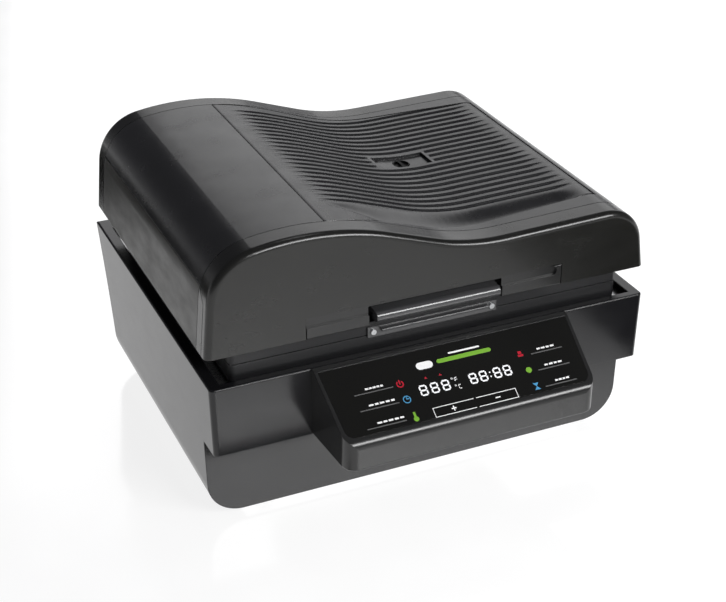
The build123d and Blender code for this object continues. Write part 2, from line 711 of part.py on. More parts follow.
def base_shell():
    """Moulded tub: open above inside a narrow rim lip, open below inside a plate rebate."""
    solid = rounded_base(base_blank(0))
    cavity = base_blank(WALL)
    posts = [post & solid for post in deck_posts()]
    shell = solid - (cavity - bay_pocket(WALL) - posts) - bay_pocket(0)
    shell = shell - block(-LIP_X, LIP_X, LIP_FRONT_Y, LIP_REAR_Y, DECK_Z + 2, RIM_Z + 1)
    shell = shell - block(-142, 142, BAY_Y - 10, BAY_Y + 1, 46, 144)
    shell = shell - block(-262, 262, BODY_FRONT_Y + 3, 252, 0, PLATE_TOP_Z)
    shell = shell - block(-248, 248, BODY_FRONT_Y + 17, 238, 0, 20)
    bosses = [rod_z(x, y, PLATE_TOP_Z, 5.5, 12) for x, y in plate_screw_spots()]
    shell = shell + bosses
    shell = shell - block(PANEL_X - 150, PANEL_X + 150, APRON_Y - 1, APRON_Y + 10, 165, 222)
    holes = [rod_z(x, y, 0, 1.9, 22) for x, y in plate_screw_spots()]
    holes += [rod_z(x, y, 220, 2.0, 20) for x, y in bracket_screw_spots()]
    holes += [rod_y(x, 240, z, 1.5, 20) for x, z in rear_plate_spots()]
    holes += [rod_y(x, APRON_Y - 5, z, 1.9, 20) for x, z in panel_screw_spots()]
    return shell - holes


def foot_spots():
    return [(x, y) for x in (-225, 225) for y in (-135, 215)]


def bottom_plate():
    """Vented steel plate with pressed studs for the control board."""
    plate = block(-261, 261, BODY_FRONT_Y + 4, 251, FOOT_HEIGHT, PLATE_TOP_Z)
    slots = [round_block(x - 3, x + 3, y - 25, y + 25, 0, 20, 2.9)
             for x in range(-196, 197, 28) for y in (-110, 160)]
    holes = [rod_z(x, y, 0, 2.1, 20) for x, y in plate_screw_spots()]
    holes += [rod_z(x, y, 0, 2.0, 20) for x, y in foot_spots()]
    studs = [rod_z(x, y, PLATE_TOP_Z, 3.5, 10) - rod_z(x, y, 14, 1.5, 10) for x, y in board_corners()]
    return plate - slots - holes + studs


def bottom_plate_screws():
    return [screw_up(x, y, FOOT_HEIGHT, 1.9, 2, 12) for x, y in plate_screw_spots()]


def rubber_feet():
    feet = []
    for x, y in foot_spots():
        pad = Pos(x, y, 0) * Cone(14, 17, FOOT_HEIGHT, align=LOW)
        feet.append(pad - rod_z(x, y, -1, 6, 5) - rod_z(x, y, 0, 2.1, 20))
    return group(feet)


def foot_screws():
    return [screw_up(x, y, 4, 2.0, 2.5, 12) for x, y in foot_spots()]


def deck_plate():
    """Steel deck around the chamber mouth."""
    plate = round_block(-311, 311, -211, 300, DECK_Z, DECK_Z + SHEET, 6)
    mouth = block(-218, 218, LID_MID_Y - 158, LID_MID_Y + 158, 200, 240)
    return plate - mouth - [rod_z(x, y, 200, 2.1, 60) for x, y in deck_screw_spots()]


def deck_screw_spots():
    return [(x, y) for x in (-303, 303) for y in (-150, 60, 260)]


def deck_screws():
    return [screw_down(x, y, DECK_Z + SHEET, 2.0, 2.0, 1.5) for x, y in deck_screw_spots()]


# ---------------------------------------------------------------- vacuum chamber


def vacuum_chamber():
    """Deep drawn pan with a flange, for the mugs and their moulds, and two welded barbs below."""
    x = CHAMBER_HALF_X
    y = CHAMBER_HALF_Y
    top = DECK_Z + 2 * SHEET
    floor = CHAMBER_FLOOR_Z
    outer = round_block(-x - SHEET, x + SHEET, LID_MID_Y - y - SHEET, LID_MID_Y + y + SHEET,
                        floor - SHEET, top, 21.5)
    flange = round_block(-x - 30, x + 30, LID_MID_Y - y - 30, LID_MID_Y + y + 30, top - SHEET, top, 30)
    outer = fillet(outer.edges().group_by(Axis.Z)[0], 9.5)
    inner = round_block(-x, x, LID_MID_Y - y, LID_MID_Y + y, floor, top + 1, 20)
    inner = fillet(inner.edges().group_by(Axis.Z)[0], 8)
    bodies = [rod_z(ox, oy, 106, 8, floor - 106.5) for ox, oy in OUTLETS]
    spigots = [rod_z(ox, oy, 92, HOSE_BORE, 15) for ox, oy in OUTLETS]
    bores = [rod_z(ox, oy, 90, 1.8, 40) for ox, oy in OUTLETS]
    return (outer + flange - inner) + bodies + spigots - bores


def chamber_gasket():
    z0 = DECK_Z + 2 * SHEET
    outer = round_block(-237, 237, LID_MID_Y - 177, LID_MID_Y + 177, z0, 233.7, 28)
    inner = round_block(-225, 225, LID_MID_Y - 165, LID_MID_Y + 165, z0 - 1, 240, 17)
    ring = outer - inner
    return fillet(ring.edges().group_by(Axis.Z)[-1], 3)


def perforated_tray():
    """Lift-out plate that keeps the work off the outlets."""
    z = CHAMBER_FLOOR_Z + 28
    plate = round_block(-209, 209, LID_MID_Y - 149, LID_MID_Y + 149, z, z + SHEET, 16)
    legs = [rod_z(x, LID_MID_Y + y, CHAMBER_FLOOR_Z, 4, 29) for x in (-195, 195) for y in (-135, 135)]
    holes = [rod_z(32 * i, LID_MID_Y + 32 * j, z - 1, 4, 5) for i in range(-6, 7) for j in range(-4, 5)]
    return plate - holes + legs


def hose(route, bends):
    """Rubber tube along straight runs joined by arcs."""
    path = FilletPolyline(*route, radius=bends)
    ring = Circle(HOSE_RADIUS) - Circle(HOSE_BORE + 0.02)
    return sweep(Plane(origin=path @ 0, z_dir=path % 0) * ring, path=path)


def vacuum_hoses():
    """Suction hose to the pump and a short one to the release valve."""
    x, y = OUTLETS[0]
    suction = hose([(x, y, 106), (x, y, PUMP_Z), (x, PUMP_Y, PUMP_Z), (-4, PUMP_Y, PUMP_Z)], 24)
    x, y = OUTLETS[1]
    release = rod_z(x, y, 86, HOSE_RADIUS, 20) - rod_z(x, y, 80, HOSE_BORE + 0.02, 40)
    return group([suction, release])


def release_valve():
    """Solenoid valve that lets air back into the chamber."""
    x, y = OUTLETS[1]
    spigot = rod_z(x, y, 74, 2.9, 18)
    body = round_block(x - 14, x + 14, y - 11, y + 11, 52, 76, 2)
    coil = round_block(x - 17, x + 17, y - 15, y + 15, 24, 52, 3)
    foot = block(x - 22, x + 22, y - 12, y + 12, PLATE_TOP_Z, 14)
    post = block(x - 10, x + 10, y - 8, y + 8, 13, 25)
    collar = rod_z(x, y, 76, 6, 10)
    return body + coil + foot + post + collar + spigot


def pump_motor():
    can = rod_x(-154, PUMP_Y, PUMP_Z, 30, 82)
    can = fillet(can.edges().group_by(Axis.X)[0], 4)
    cradle = block(-148, -80, PUMP_Y - 20, PUMP_Y + 20, 28, 44)
    return can + cradle


def pump_head():
    """Twin diaphragm head with cooling fins and an inlet barb."""
    body = round_block(-72, -14, PUMP_Y - 30, PUMP_Y + 30, 28, 92, 4)
    slits = [block(-66 + 9 * k, -62 + 9 * k, PUMP_Y - 40, PUMP_Y + 40, 76, 95) for k in range(6)]
    barb = rod_x(-15, PUMP_Y, PUMP_Z, 7, 11) + rod_x(-5, PUMP_Y, PUMP_Z, HOSE_BORE, 15)
    return body - slits + barb


def pump_bracket():
    plate = round_block(-165, -8, PUMP_Y - 44, PUMP_Y + 44, 26, 28, 5)
    return plate - [rod_z(x, y, 20, 2.5, 20) for x, y in pump_mount_spots()]


def pump_mount_spots():
    return [(x, PUMP_Y + dy) for x in (-156, -17) for dy in (-36, 36)]


def pump_rubber_mounts():
    return group(rod_z(x, y, PLATE_TOP_Z, 7, 14) + rod_z(x, y, 25, 2.5, 8) for x, y in pump_mount_spots())


# ---------------------------------------------------------------- electrics in the base


def board_corners():
    x0, x1, y0, y1 = BOARD
    return [(x, y) for x in (x0 + 6, x1 - 6) for y in (y0 + 6, y1 - 6)]


def control_board():
    x0, x1, y0, y1 = BOARD
    plate = round_block(x0, x1, y0, y1, BOARD_Z, BOARD_Z + 1.6, 3)
    return plate - [rod_z(x, y, BOARD_Z - 1, 1.6, 4) for x, y in board_corners()]


def board_components():
    """Relays, capacitors, a small transformer, a chip and connectors on the control board."""
    x0, x1, y0, y1 = BOARD
    z = BOARD_Z + 1.6
    relays = [block(x0 + 22 + 24 * k, x0 + 41 + 24 * k, y1 - 18, y1 - 3, z, z + 15) for k in range(4)]
    cans = [rod_z(x0 + 24 + 16 * k, y0 + 22, z, 6, 18) for k in range(3)]
    coil = round_block(x1 - 50, x1 - 16, y0 + 14, y0 + 42, z, z + 26, 2)
    chip = block(x0 + 22, x0 + 50, y0 + 40, y0 + 54, z, z + 3)
    plugs = [block(x0 + 14 + 30 * k, x0 + 36 + 30 * k, y0 + 2, y0 + 9, z, z + 9) for k in range(2)]
    return group(relays + cans + [coil, chip] + plugs)


def board_screws():
    return [screw_down(x, y, BOARD_Z + 1.6, 1.5, 1.5, 8) for x, y in board_corners()]


def power_supply():
    case = round_block(60, 190, -70, 30, PLATE_TOP_Z, 50, 2)
    inside = block(61, 189, -69, 29, 13, 49)
    slots = [block(70 + 12 * k, 75 + 12 * k, -55, 15, 45, 55) for k in range(10)]
    terminals = [block(64 + 14 * k, 74 + 14 * k, -80, -70, 14, 28) for k in range(4)]
    return case - inside - slots + terminals


# ---------------------------------------------------------------- control panel

def nose_centre():
    """Centre of the arc that turns the sloping face down into the console's front."""
    tilt = radians(PANEL_FACE_DEG)
    y = PANEL_FRONT_Y + PANEL_NOSE_RADIUS
    start_y = y - PANEL_NOSE_RADIUS * sin(tilt)
    start_z = RIM_Z - (PANEL_TOP_Y - start_y) * tan(tilt)
    return y, start_z - PANEL_NOSE_RADIUS * cos(tilt)


def face_plane():
    """The sloping face: origin at its top centre, v up the slope, w out of the face."""
    tilt = radians(PANEL_FACE_DEG)
    normal = (0, -sin(tilt), cos(tilt))
    return Plane(origin=(PANEL_X, PANEL_TOP_Y, RIM_Z), x_dir=(1, 0, 0), z_dir=normal)


def face_length():
    tilt = radians(PANEL_FACE_DEG)
    return (PANEL_TOP_Y - nose_centre()[0] + PANEL_NOSE_RADIUS * sin(tilt)) / cos(tilt)


def face_outline(margin, top_margin, bottom_margin, radius):
    """Tapered outline on the face with rounded lower corners."""
    high = -top_margin
    low = -face_length() + bottom_margin
    top = PANEL_HALF_TOP - margin
    lip = PANEL_HALF_LIP - margin
    plan = Polygon((-top, high), (-lip, low), (lip, low), (top, high), align=None)
    lower = plan.vertices().sort_by(Axis.Y)[:2]
    return fillet(lower, radius)


def console_body(inset, back, low):
    """Side view of the console between its back and front, with a round nose."""
    tilt = radians(PANEL_FACE_DEG)
    y, z = nose_centre()
    radius = PANEL_NOSE_RADIUS - inset
    drop = inset / cos(tilt)
    start = (y - radius * sin(tilt), z + radius * cos(tilt))
    middle = radians(PANEL_FACE_DEG + 90) / 2
    arc = ThreePointArc(start, (y - radius * sin(middle), z + radius * cos(middle)), (y - radius, z))
    shelf = PANEL_TOP_Y - inset * tan(tilt / 2)
    edges = [Line((back, low), (back, RIM_Z - inset)), Line((back, RIM_Z - inset), (shelf, RIM_Z - inset)),
             Line((shelf, RIM_Z - inset), start), arc, Line(arc @ 1, (y - radius, low)),
             Line((y - radius, low), (back, low))]
    return Pos(PANEL_X - 250, 0, 0) * extrude(Plane.YZ * make_face(edges), 500)


def console_plan(inset, back):
    top = PANEL_HALF_TOP - inset
    lip = PANEL_HALF_LIP - inset
    front = PANEL_FRONT_Y + inset
    plan = Polygon((-top, back), (-lip, front), (lip, front), (top, back), align=None)
    plan = fillet(plan.vertices().sort_by(Axis.Y)[:2], PANEL_CORNER - inset)
    return Pos(PANEL_X, 0, 100) * extrude(plan, 200)


def housing_solid():
    solid = console_body(0, APRON_Y, PANEL_BOTTOM_Z) & console_plan(0, APRON_Y)
    front = [edge for edge in solid.edges() if edge.center().Y < APRON_Y - 1]
    return fillet([edge for edge in front if edge.center().Z < PANEL_BOTTOM_Z + 1], 2.5)


def housing_cavity():
    """Space inside the console, open towards the apron."""
    back = APRON_Y + 1
    return console_body(PANEL_WALL, back, PANEL_BOTTOM_Z + PANEL_WALL) & console_plan(PANEL_WALL, back)


def panel_screw_spots():
    return [(PANEL_X + dx, z) for dx in (-168, 0, 168) for z in (150, 226)]


def panel_housing():
    """Wedge-shaped console bolted to the apron, with a window for the touch glass."""
    solid = housing_solid()
    inside = housing_cavity()
    plane = face_plane()
    opening = plane * face_outline(GLASS_SIDE, GLASS_TOP, GLASS_BOTTOM, 14)
    seat = extrude(opening, -GLASS) + extrude(opening, 5)
    window = extrude(plane * face_outline(12, 11, 12, 8), -2 * PANEL_WALL)
    bosses = [block(x - 5, x + 5, APRON_Y - 7, APRON_Y, z - 12, z + 8) & solid
              for x, z in panel_screw_spots()]
    holes = [rod_y(x, APRON_Y - 5, z, 1.9, 8) for x, z in panel_screw_spots()]
    return (solid - inside + bosses) - seat - window - holes


def panel_screws():
    return [screw_rear(x, APRON_Y + WALL, z, 1.9, 2.2, 8) for x, z in panel_screw_spots()]


def panel_glass():
    outline = face_outline(GLASS_SIDE + GLASS_PLAY, GLASS_TOP + GLASS_PLAY, GLASS_BOTTOM + GLASS_PLAY, 13.7)
    return extrude(face_plane() * outline, -GLASS + 0.1)


def on_face(u0, u1, v0, v1, w0, w1):
    """A block in the face's own directions."""
    return face_plane() * block(u0, u1, v0, v1, w0, w1)


def digit_displays():
    """Seven-segment modules: one of three digits and one of four."""
    left = on_face(-64, -10, -62, -36, TOUCH_BOARD_W, -PANEL_WALL)
    right = on_face(2, 72, -62, -36, TOUCH_BOARD_W, -PANEL_WALL)
    return group([left, right])


def touch_board():
    """Board under the glass with a lamp and a sensing spring for each key."""
    low = -face_length() + 24
    plane = face_plane()
    board = on_face(-155, 155, low, -26, TOUCH_BOARD_W - 1.6, TOUCH_BOARD_W)
    springs = [plane * rod_z(u, v, TOUCH_BOARD_W, 3.5, -TOUCH_BOARD_W - GLASS) for u, v in key_spots()]
    lamps = [plane * rod_z(u + 0.12 * u, v, TOUCH_BOARD_W, 1.5, 5) for u, v in key_spots()[:6]]
    return board + springs + lamps


def key_spots():
    sides = [(u, v) for u in (-100, 100) for v in (-36, -54, -72)]
    return sides + [(-38, -76), (38, -76)]


# ---------------------------------------------------------------- rear service bay

def rear_plate():
    """Steel plate behind the bay window that carries the inlet, fuse, switch and fan."""
    plate = block(-152, 152, REAR_PLATE_Y, REAR_PLATE_Y + 2, 36, 154)
    cuts = [block(INLET_X - 14.2, INLET_X + 14.2, 240, 260, INLET_Z - 11.7, INLET_Z + 11.7)]
    cuts += [rod_y(INLET_X, 240, FUSE_Z, 6.6, 20)]
    cuts += [block(ROCKER_X - 9.1, ROCKER_X + 9.1, 240, 260, ROCKER_Z - 15.1, ROCKER_Z + 15.1)]
    cuts += [rod_y(FAN_X, 240, FAN_Z, 43, 20)]
    cuts += [rod_y(x, 240, z, 2.1, 20) for x, z in fan_screw_spots()]
    cuts += [rod_y(x, 240, z, 1.5, 20) for x, z in rear_plate_spots()]
    return plate - cuts


def rear_plate_screws():
    return [screw_rear(x, BAY_Y, z, 1.5, 1.8, 5.5) for x, z in rear_plate_spots()]


def fan_screw_spots():
    half = 41.25
    return [(FAN_X + dx, FAN_Z + dz) for dx in (-half, half) for dz in (-half, half)]


def cooling_fan_frame():
    """Square fan frame with struts to a central motor stub."""
    y0 = REAR_PLATE_Y - 25
    half = FAN_SIZE / 2
    body = block(FAN_X - half, FAN_X + half, y0, REAR_PLATE_Y, FAN_Z - half, FAN_Z + half)
    body = fillet(body.edges().filter_by(Axis.Y), 4)
    body = body - rod_y(FAN_X, y0 - 1, FAN_Z, 43, 30)
    struts = [Pos(FAN_X, y0 + 1.5, FAN_Z) * (Rot(0, 45 + 90 * k, 0) * Pos(31, 0, 0) * Box(28, 3, 4))
              for k in range(4)]
    stub = rod_y(FAN_X, y0, FAN_Z, 19, 4) + rod_y(FAN_X, y0 + 3, FAN_Z, 3, 16)
    holes = [rod_y(x, y0 - 1, z, 2.0, 30) for x, z in fan_screw_spots()]
    return body + struts + stub - holes


def cooling_fan_rotor():
    y0 = REAR_PLATE_Y - 20.5
    hub = rod_y(FAN_X, y0, FAN_Z, 18, 18)
    blade = Pos(29, 0, 0) * (Rot(38, 0, 0) * Box(23, 20, 1.8))
    blades = [Pos(FAN_X, y0 + 9, FAN_Z) * (Rot(0, 360 / 7 * k, 0) * blade) for k in range(7)]
    return hub + blades - rod_y(FAN_X, y0 - 1, FAN_Z, 3 + PIN_PLAY, 17)


def fan_guard():
    """Chromed wire rings over the fan."""
    y = REAR_PLATE_Y + 3.5
    rings = [Pos(FAN_X, y, FAN_Z) * (Rot(90, 0, 0) * Torus(radius, 1)) for radius in (12, 20, 28, 36, 43)]
    spokes = [Pos(FAN_X, y - 0.7, FAN_Z) * (Rot(0, 45 + 90 * k, 0) * Pos(32, 0, 0) * Box(46, 1.6, 2.2))
              for k in range(4)]
    eyes = [rod_y(x, REAR_PLATE_Y + 2, z, 3.6, 1.6) - rod_y(x, REAR_PLATE_Y, z, 2.0, 5)
            for x, z in fan_screw_spots()]
    return rings[0] + rings[1:] + spokes + eyes - [rod_y(x, 240, z, 2.0, 20) for x, z in fan_screw_spots()]


def fan_screws():
    return [screw_rear(x, REAR_PLATE_Y + 3.6, z, 2.0, 2.0, 20) for x, z in fan_screw_spots()]


def mains_inlet():
    """Three-pin appliance inlet with its flange and blades."""
    y = REAR_PLATE_Y + 2
    flange = block(INLET_X - 25, INLET_X + 25, y, y + 3, INLET_Z - 13, INLET_Z + 13)
    flange = fillet(flange.edges().filter_by(Axis.Y), 3)
    body = block(INLET_X - 14, INLET_X + 14, y - 24, y, INLET_Z - 11.5, INLET_Z + 11.5)
    socket = block(INLET_X - 12, INLET_X + 12, y - 15, y + 4, INLET_Z - 8.2, INLET_Z + 8.2)
    blades = [block(INLET_X + dx - 1, INLET_X + dx + 1, y - 28, y - 2, INLET_Z + dz - 2, INLET_Z + dz + 2)
              for dx, dz in ((-7, -2), (7, -2), (0, 2))]
    return flange + body - socket + blades


def fuse_holder():
    y = REAR_PLATE_Y + 2
    body = rod_y(INLET_X, y - 26, FUSE_Z, 6.5, 27)
    cap = rod_y(INLET_X, y, FUSE_Z, 9, 6)
    cap = fillet(cap.edges().group_by(Axis.Y)[-1], 1.2)
    return body + cap - block(INLET_X - 6, INLET_X + 6, y + 5, y + 8, FUSE_Z - 0.8, FUSE_Z + 0.8)


def rocker_switch_body():
    y = REAR_PLATE_Y + 2
    flange = block(ROCKER_X - 11.5, ROCKER_X + 11.5, y, y + 2.2, ROCKER_Z - 17.5, ROCKER_Z + 17.5)
    flange = fillet(flange.edges().filter_by(Axis.Y), 2)
    can = block(ROCKER_X - 9, ROCKER_X + 9, y - 26, y, ROCKER_Z - 15, ROCKER_Z + 15)
    well = block(ROCKER_X - 7.4, ROCKER_X + 7.4, y - 14, y + 4, ROCKER_Z - 13, ROCKER_Z + 13)
    pin = rod_x(ROCKER_X - 8, ROCKER_PIVOT_Y, ROCKER_Z, 1.5, 16)
    tabs = [block(ROCKER_X - 3, ROCKER_X + 3, y - 34, y - 25, ROCKER_Z + dz - 0.4, ROCKER_Z + dz + 0.4)
            for dz in (-9, 9)]
    return flange + can - well + pin + tabs


def rocker():
    """Power rocker, stored with its upper half pressed in."""
    side = Polyline((-4, -4), (-4, 4), (5, 11), (8, 11), (6.3, 0), (8, -11), (5, -11), (-4, -4))
    prism = Pos(-7, 0, 0) * extrude(Plane.YZ * make_face(side), 14)
    prism = prism - rod_x(-8, 0, 0, 1.5 + PIN_PLAY, 16)
    return Pos(ROCKER_X, ROCKER_PIVOT_Y, ROCKER_Z) * (Rot(ROCKER_THROW, 0, 0) * prism)


# ---------------------------------------------------------------- write every sub-part

def lid_parts():
    front, rear, left_side, left_top, ribbed, right = lid_covers()
    return {
        "lid_front_cap": cut_front_cap(with_bosses(front, FRONT_BOSSES)),
        "lid_rear_cap": rear_cap_with_holes(with_bosses(rear, REAR_BOSSES)),
        "lid_left_side_panel": with_bosses(left_side, LEFT_BOSSES),
        "lid_smooth_cover": left_top,
        "lid_ribbed_cover": ribbed_cover(ribbed),
        "lid_right_cover": with_bosses(right, RIGHT_BOSSES),
        "vent_cap": vent_cap(),
        "front_bezel": front_bezel(),
        "lid_handle": lid_handle(),
        "lid_tray": lid_tray(),
        "heater_casing": heater_casing(),
        "insulation": insulation(),
        "reflector": reflector(),
        "heater_tubes": heater_tubes(),
        "tube_holders": tube_holders(),
        "heater_guard": heater_guard(),
        "temperature_probe": temperature_probe(),
        "thermal_cutout": thermal_cutout(),
        "circulation_motor": circulation_motor(),
        "circulation_fan": circulation_fan(),
        "lid_hinge_leaves": group(lid_hinge_leaf(s) for s in stations()),
        "lid_screws": group(lid_cover_screws() + lid_hinge_screws()),
    }


def frame_parts():
    return {
        "lower_frame": lower_frame(),
        "upper_frame": upper_frame(),
        "silicone_membrane": silicone_membrane(),
        "frame_handle": frame_handle(),
        "frame_hinge_arms": group(frame_hinge_arm(s) for s in stations()),
        "frame_screws": group(frame_screws() + frame_handle_bolts() + frame_arm_screws()),
    }


def base_parts():
    return {
        "base_shell": base_shell(),
        "bottom_plate": bottom_plate(),
        "rubber_feet": rubber_feet(),
        "deck_plate": deck_plate(),
        "hinge_brackets": group(hinge_bracket(s) for s in stations()),
        "hinge_pins": group(hinge_pin(s) for s in stations()),
        "vacuum_chamber": vacuum_chamber(),
        "chamber_gasket": chamber_gasket(),
        "perforated_tray": perforated_tray(),
        "vacuum_hoses": vacuum_hoses(),
        "release_valve": release_valve(),
        "pump_motor": pump_motor(),
        "pump_head": pump_head(),
        "pump_bracket": pump_bracket(),
        "pump_rubber_mounts": pump_rubber_mounts(),
        "control_board": control_board(),
        "board_components": board_components(),
        "power_supply": power_supply(),
        "base_screws_m4": group(bottom_plate_screws() + foot_screws() + deck_screws()
                                + hinge_bracket_screws() + panel_screws() + fan_screws()),
        "base_screws_m3": group(board_screws() + rear_plate_screws()),
    }


def panel_parts():
    return {
        "panel_housing": panel_housing(),
        "panel_glass": panel_glass(),
        "touch_board": touch_board(),
        "digit_displays": digit_displays(),
    }


def rear_parts():
    return {
        "rear_plate": rear_plate(),
        "cooling_fan_frame": cooling_fan_frame(),
        "cooling_fan_rotor": cooling_fan_rotor(),
        "fan_guard": fan_guard(),
        "mains_inlet": mains_inlet(),
        "fuse_holder": fuse_holder(),
        "rocker_switch_body": rocker_switch_body(),
        "rocker": rocker(),
    }


def main():
    os.makedirs("parts", exist_ok=True)
    for make in (lid_parts, frame_parts, base_parts, panel_parts, rear_parts):
        for name, shape in make().items():
            write(name, shape)


main()
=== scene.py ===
import bpy
import json
import math
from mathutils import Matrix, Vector
from mathutils.bvhtree import BVHTree


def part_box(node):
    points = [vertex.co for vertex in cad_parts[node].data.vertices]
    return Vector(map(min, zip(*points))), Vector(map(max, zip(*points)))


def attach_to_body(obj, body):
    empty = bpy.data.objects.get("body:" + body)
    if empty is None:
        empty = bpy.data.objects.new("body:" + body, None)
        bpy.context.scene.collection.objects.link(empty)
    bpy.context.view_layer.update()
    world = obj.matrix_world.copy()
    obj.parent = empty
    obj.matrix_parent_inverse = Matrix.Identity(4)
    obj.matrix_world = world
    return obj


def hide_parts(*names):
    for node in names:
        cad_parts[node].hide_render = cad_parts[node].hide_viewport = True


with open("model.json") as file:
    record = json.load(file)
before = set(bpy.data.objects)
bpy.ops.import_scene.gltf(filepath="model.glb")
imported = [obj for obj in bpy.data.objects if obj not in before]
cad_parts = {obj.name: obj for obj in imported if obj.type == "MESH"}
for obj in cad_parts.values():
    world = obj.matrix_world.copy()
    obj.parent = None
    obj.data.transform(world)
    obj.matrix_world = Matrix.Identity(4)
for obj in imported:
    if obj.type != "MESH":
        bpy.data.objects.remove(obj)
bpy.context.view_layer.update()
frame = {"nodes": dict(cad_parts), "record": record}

# The heat press on a light table. The CAD nodes get procedural materials, the ribbed cover and the lid
# handle are replaced by finer shells, and thin prints are laid on the touch glass.

MM = 0.001


# ---------------------------------------------------------------- camera, floor and light

CAMERA_PLACE = (-0.7918, -1.7578, 1.2474)
CAMERA_DOWN = 28.91          # degrees below level
CAMERA_TURN = 23.91          # degrees clockwise from facing +y
CAMERA_LENS = 75.1
PAPER_HALF = 14.0
CARD_Z = 2 * MM


def aim(obj, target):
    obj.rotation_euler = (Vector(target) - obj.location).to_track_quat("-Z", "Y").to_euler()


def add_camera():
    data = bpy.data.cameras.new("camera")
    data.lens = CAMERA_LENS
    data.sensor_width = 36
    camera = bpy.data.objects.new("camera", data)
    camera.location = CAMERA_PLACE
    camera.rotation_euler = (math.radians(90 - CAMERA_DOWN), 0, math.radians(-CAMERA_TURN))
    bpy.context.scene.collection.objects.link(camera)
    bpy.context.scene.camera = camera


def softbox(name, place, target, width, height, radiance):
    """A rectangular lamp of even radiance that faces its target."""
    data = bpy.data.lights.new(name, "AREA")
    data.shape = "RECTANGLE"
    data.size = width
    data.size_y = height
    data.energy = radiance * math.pi * width * height
    light = bpy.data.objects.new(name, data)
    light.location = place
    light.visible_camera = False
    bpy.context.scene.collection.objects.link(light)
    aim(light, target)


def add_world():
    """A dim room round the table, a little paler at the horizon."""
    world = bpy.data.worlds.new("studio")
    bpy.context.scene.world = world
    world.use_nodes = True
    tree = world.node_tree
    sky = tree.nodes["Background"]
    direction = tree.nodes.new("ShaderNodeTexCoord")
    split = tree.nodes.new("ShaderNodeSeparateXYZ")
    tree.links.new(direction.outputs["Generated"], split.inputs["Vector"])
    horizon, overhead = (0.26, 0.26, 0.27), (0.09, 0.09, 0.10)
    ramp(tree, split.outputs["Z"], sky.inputs["Color"], horizon, overhead, 0.04, 0.22)
    sky.inputs["Strength"].default_value = 1.0


def flat_card(name, centre, half_width, half_depth, z, turn, material):
    """A level rectangle, turned by an angle in degrees."""
    c, d = math.cos(math.radians(turn)), math.sin(math.radians(turn))
    corners = []
    for x, y in ((-half_width, -half_depth), (half_width, -half_depth),
                 (half_width, half_depth), (-half_width, half_depth)):
        corners.append((centre[0] + c * x - d * y, centre[1] + d * x + c * y, z))
    return mesh_object(name, corners, [(0, 1, 2, 3)], material)


def add_floor():
    """Pale seamless paper, lit from below like a light table."""
    tree, shader = new_material("floor_paper")
    noise = texture(tree, "ShaderNodeTexNoise", Scale=9.0, Detail=4.0)
    ramp(tree, noise.outputs["Fac"], shader.inputs["Base Color"], (0.24, 0.24, 0.24), (0.27, 0.27, 0.27))
    spread(tree, noise.outputs["Fac"], shader.inputs["Roughness"], 0.11, 0.14)
    shader.inputs["Specular IOR Level"].default_value = 1.0
    shader.inputs["Emission Color"].default_value = (1, 1, 1, 1)
    shader.inputs["Emission Strength"].default_value = 0.84
    floor = flat_card("studio_floor", (0, 0), PAPER_HALF, PAPER_HALF, 0, 0, "floor_paper")


def flag(name, centre, half_width, half_depth, turn=0):
    """A black card on the table, seen only in reflections, that darkens what the sides reflect."""
    card = flat_card(name, centre, half_width, half_depth, CARD_Z, turn, "flag_card")
    card.visible_camera = False
    card.visible_diffuse = False
    card.visible_shadow = False


def add_studio():
    bpy.context.scene.view_settings.view_transform = "Standard"
    add_world()
    add_floor()
    softbox("backdrop_softbox", (5.2, 8.6, 4.6), (0.3, 0.3, 0.2), width=9.0, height=5.2, radiance=1.15)
    softbox("front_softbox", (0.80, -2.05, 1.48), (0, -0.2, 0.3), width=1.7, height=0.65, radiance=15.0)
    softbox("overhead_softbox", (0.7, 0.3, 3.2), (0, 0, 0.3), width=1.0, height=0.4, radiance=3.0)
    flag("right_flag", (0.89, -0.83), 0.45, 0.47)
    # painted shade: this card stands in for the shadow on the floor under the apron, so the body front's
    # reflection darkens near its bottom
    flag("front_flag", (-0.12, -0.375), 0.22, 0.05)
    flag("left_flag", (-3.94, 6.10), 0.62, 6.2, turn=29.6)


# ---------------------------------------------------------------- materials

LOOKS = {}                   # this script's materials by name
NOISE_LOW, NOISE_HIGH = 0.3, 0.7     # most of a noise texture's values lie between these


def new_material(name):
    material = bpy.data.materials.new("look_" + name)
    material.use_nodes = True
    LOOKS[name] = material
    return material.node_tree, material.node_tree.nodes["Principled BSDF"]


def texture(tree, kind, stretch=(1, 1, 1), **inputs):
    """A procedural texture on object coordinates."""
    position = tree.nodes.new("ShaderNodeTexCoord")
    mapping = tree.nodes.new("ShaderNodeMapping")
    mapping.inputs["Scale"].default_value = stretch
    node = tree.nodes.new(kind)
    tree.links.new(position.outputs["Object"], mapping.inputs["Vector"])
    tree.links.new(mapping.outputs["Vector"], node.inputs["Vector"])
    for key, value in inputs.items():
        node.inputs[key].default_value = value
    return node


def ramp(tree, source, target, low, high, start=NOISE_LOW, end=NOISE_HIGH):
    """Colour the target from low to high as the source goes from start to end."""
    node = tree.nodes.new("ShaderNodeValToRGB")
    node.color_ramp.elements[0].position = start
    node.color_ramp.elements[1].position = end
    node.color_ramp.elements[0].color = (*low, 1)
    node.color_ramp.elements[1].color = (*high, 1)
    tree.links.new(source, node.inputs["Fac"])
    tree.links.new(node.outputs["Color"], target)


def spread(tree, source, target, low, high):
    """Let the target vary from low to high with a noise source."""
    node = tree.nodes.new("ShaderNodeMapRange")
    node.inputs["From Min"].default_value = NOISE_LOW
    node.inputs["From Max"].default_value = NOISE_HIGH
    node.inputs["To Min"].default_value = low
    node.inputs["To Max"].default_value = high
    tree.links.new(source, node.inputs["Value"])
    tree.links.new(node.outputs["Result"], target)


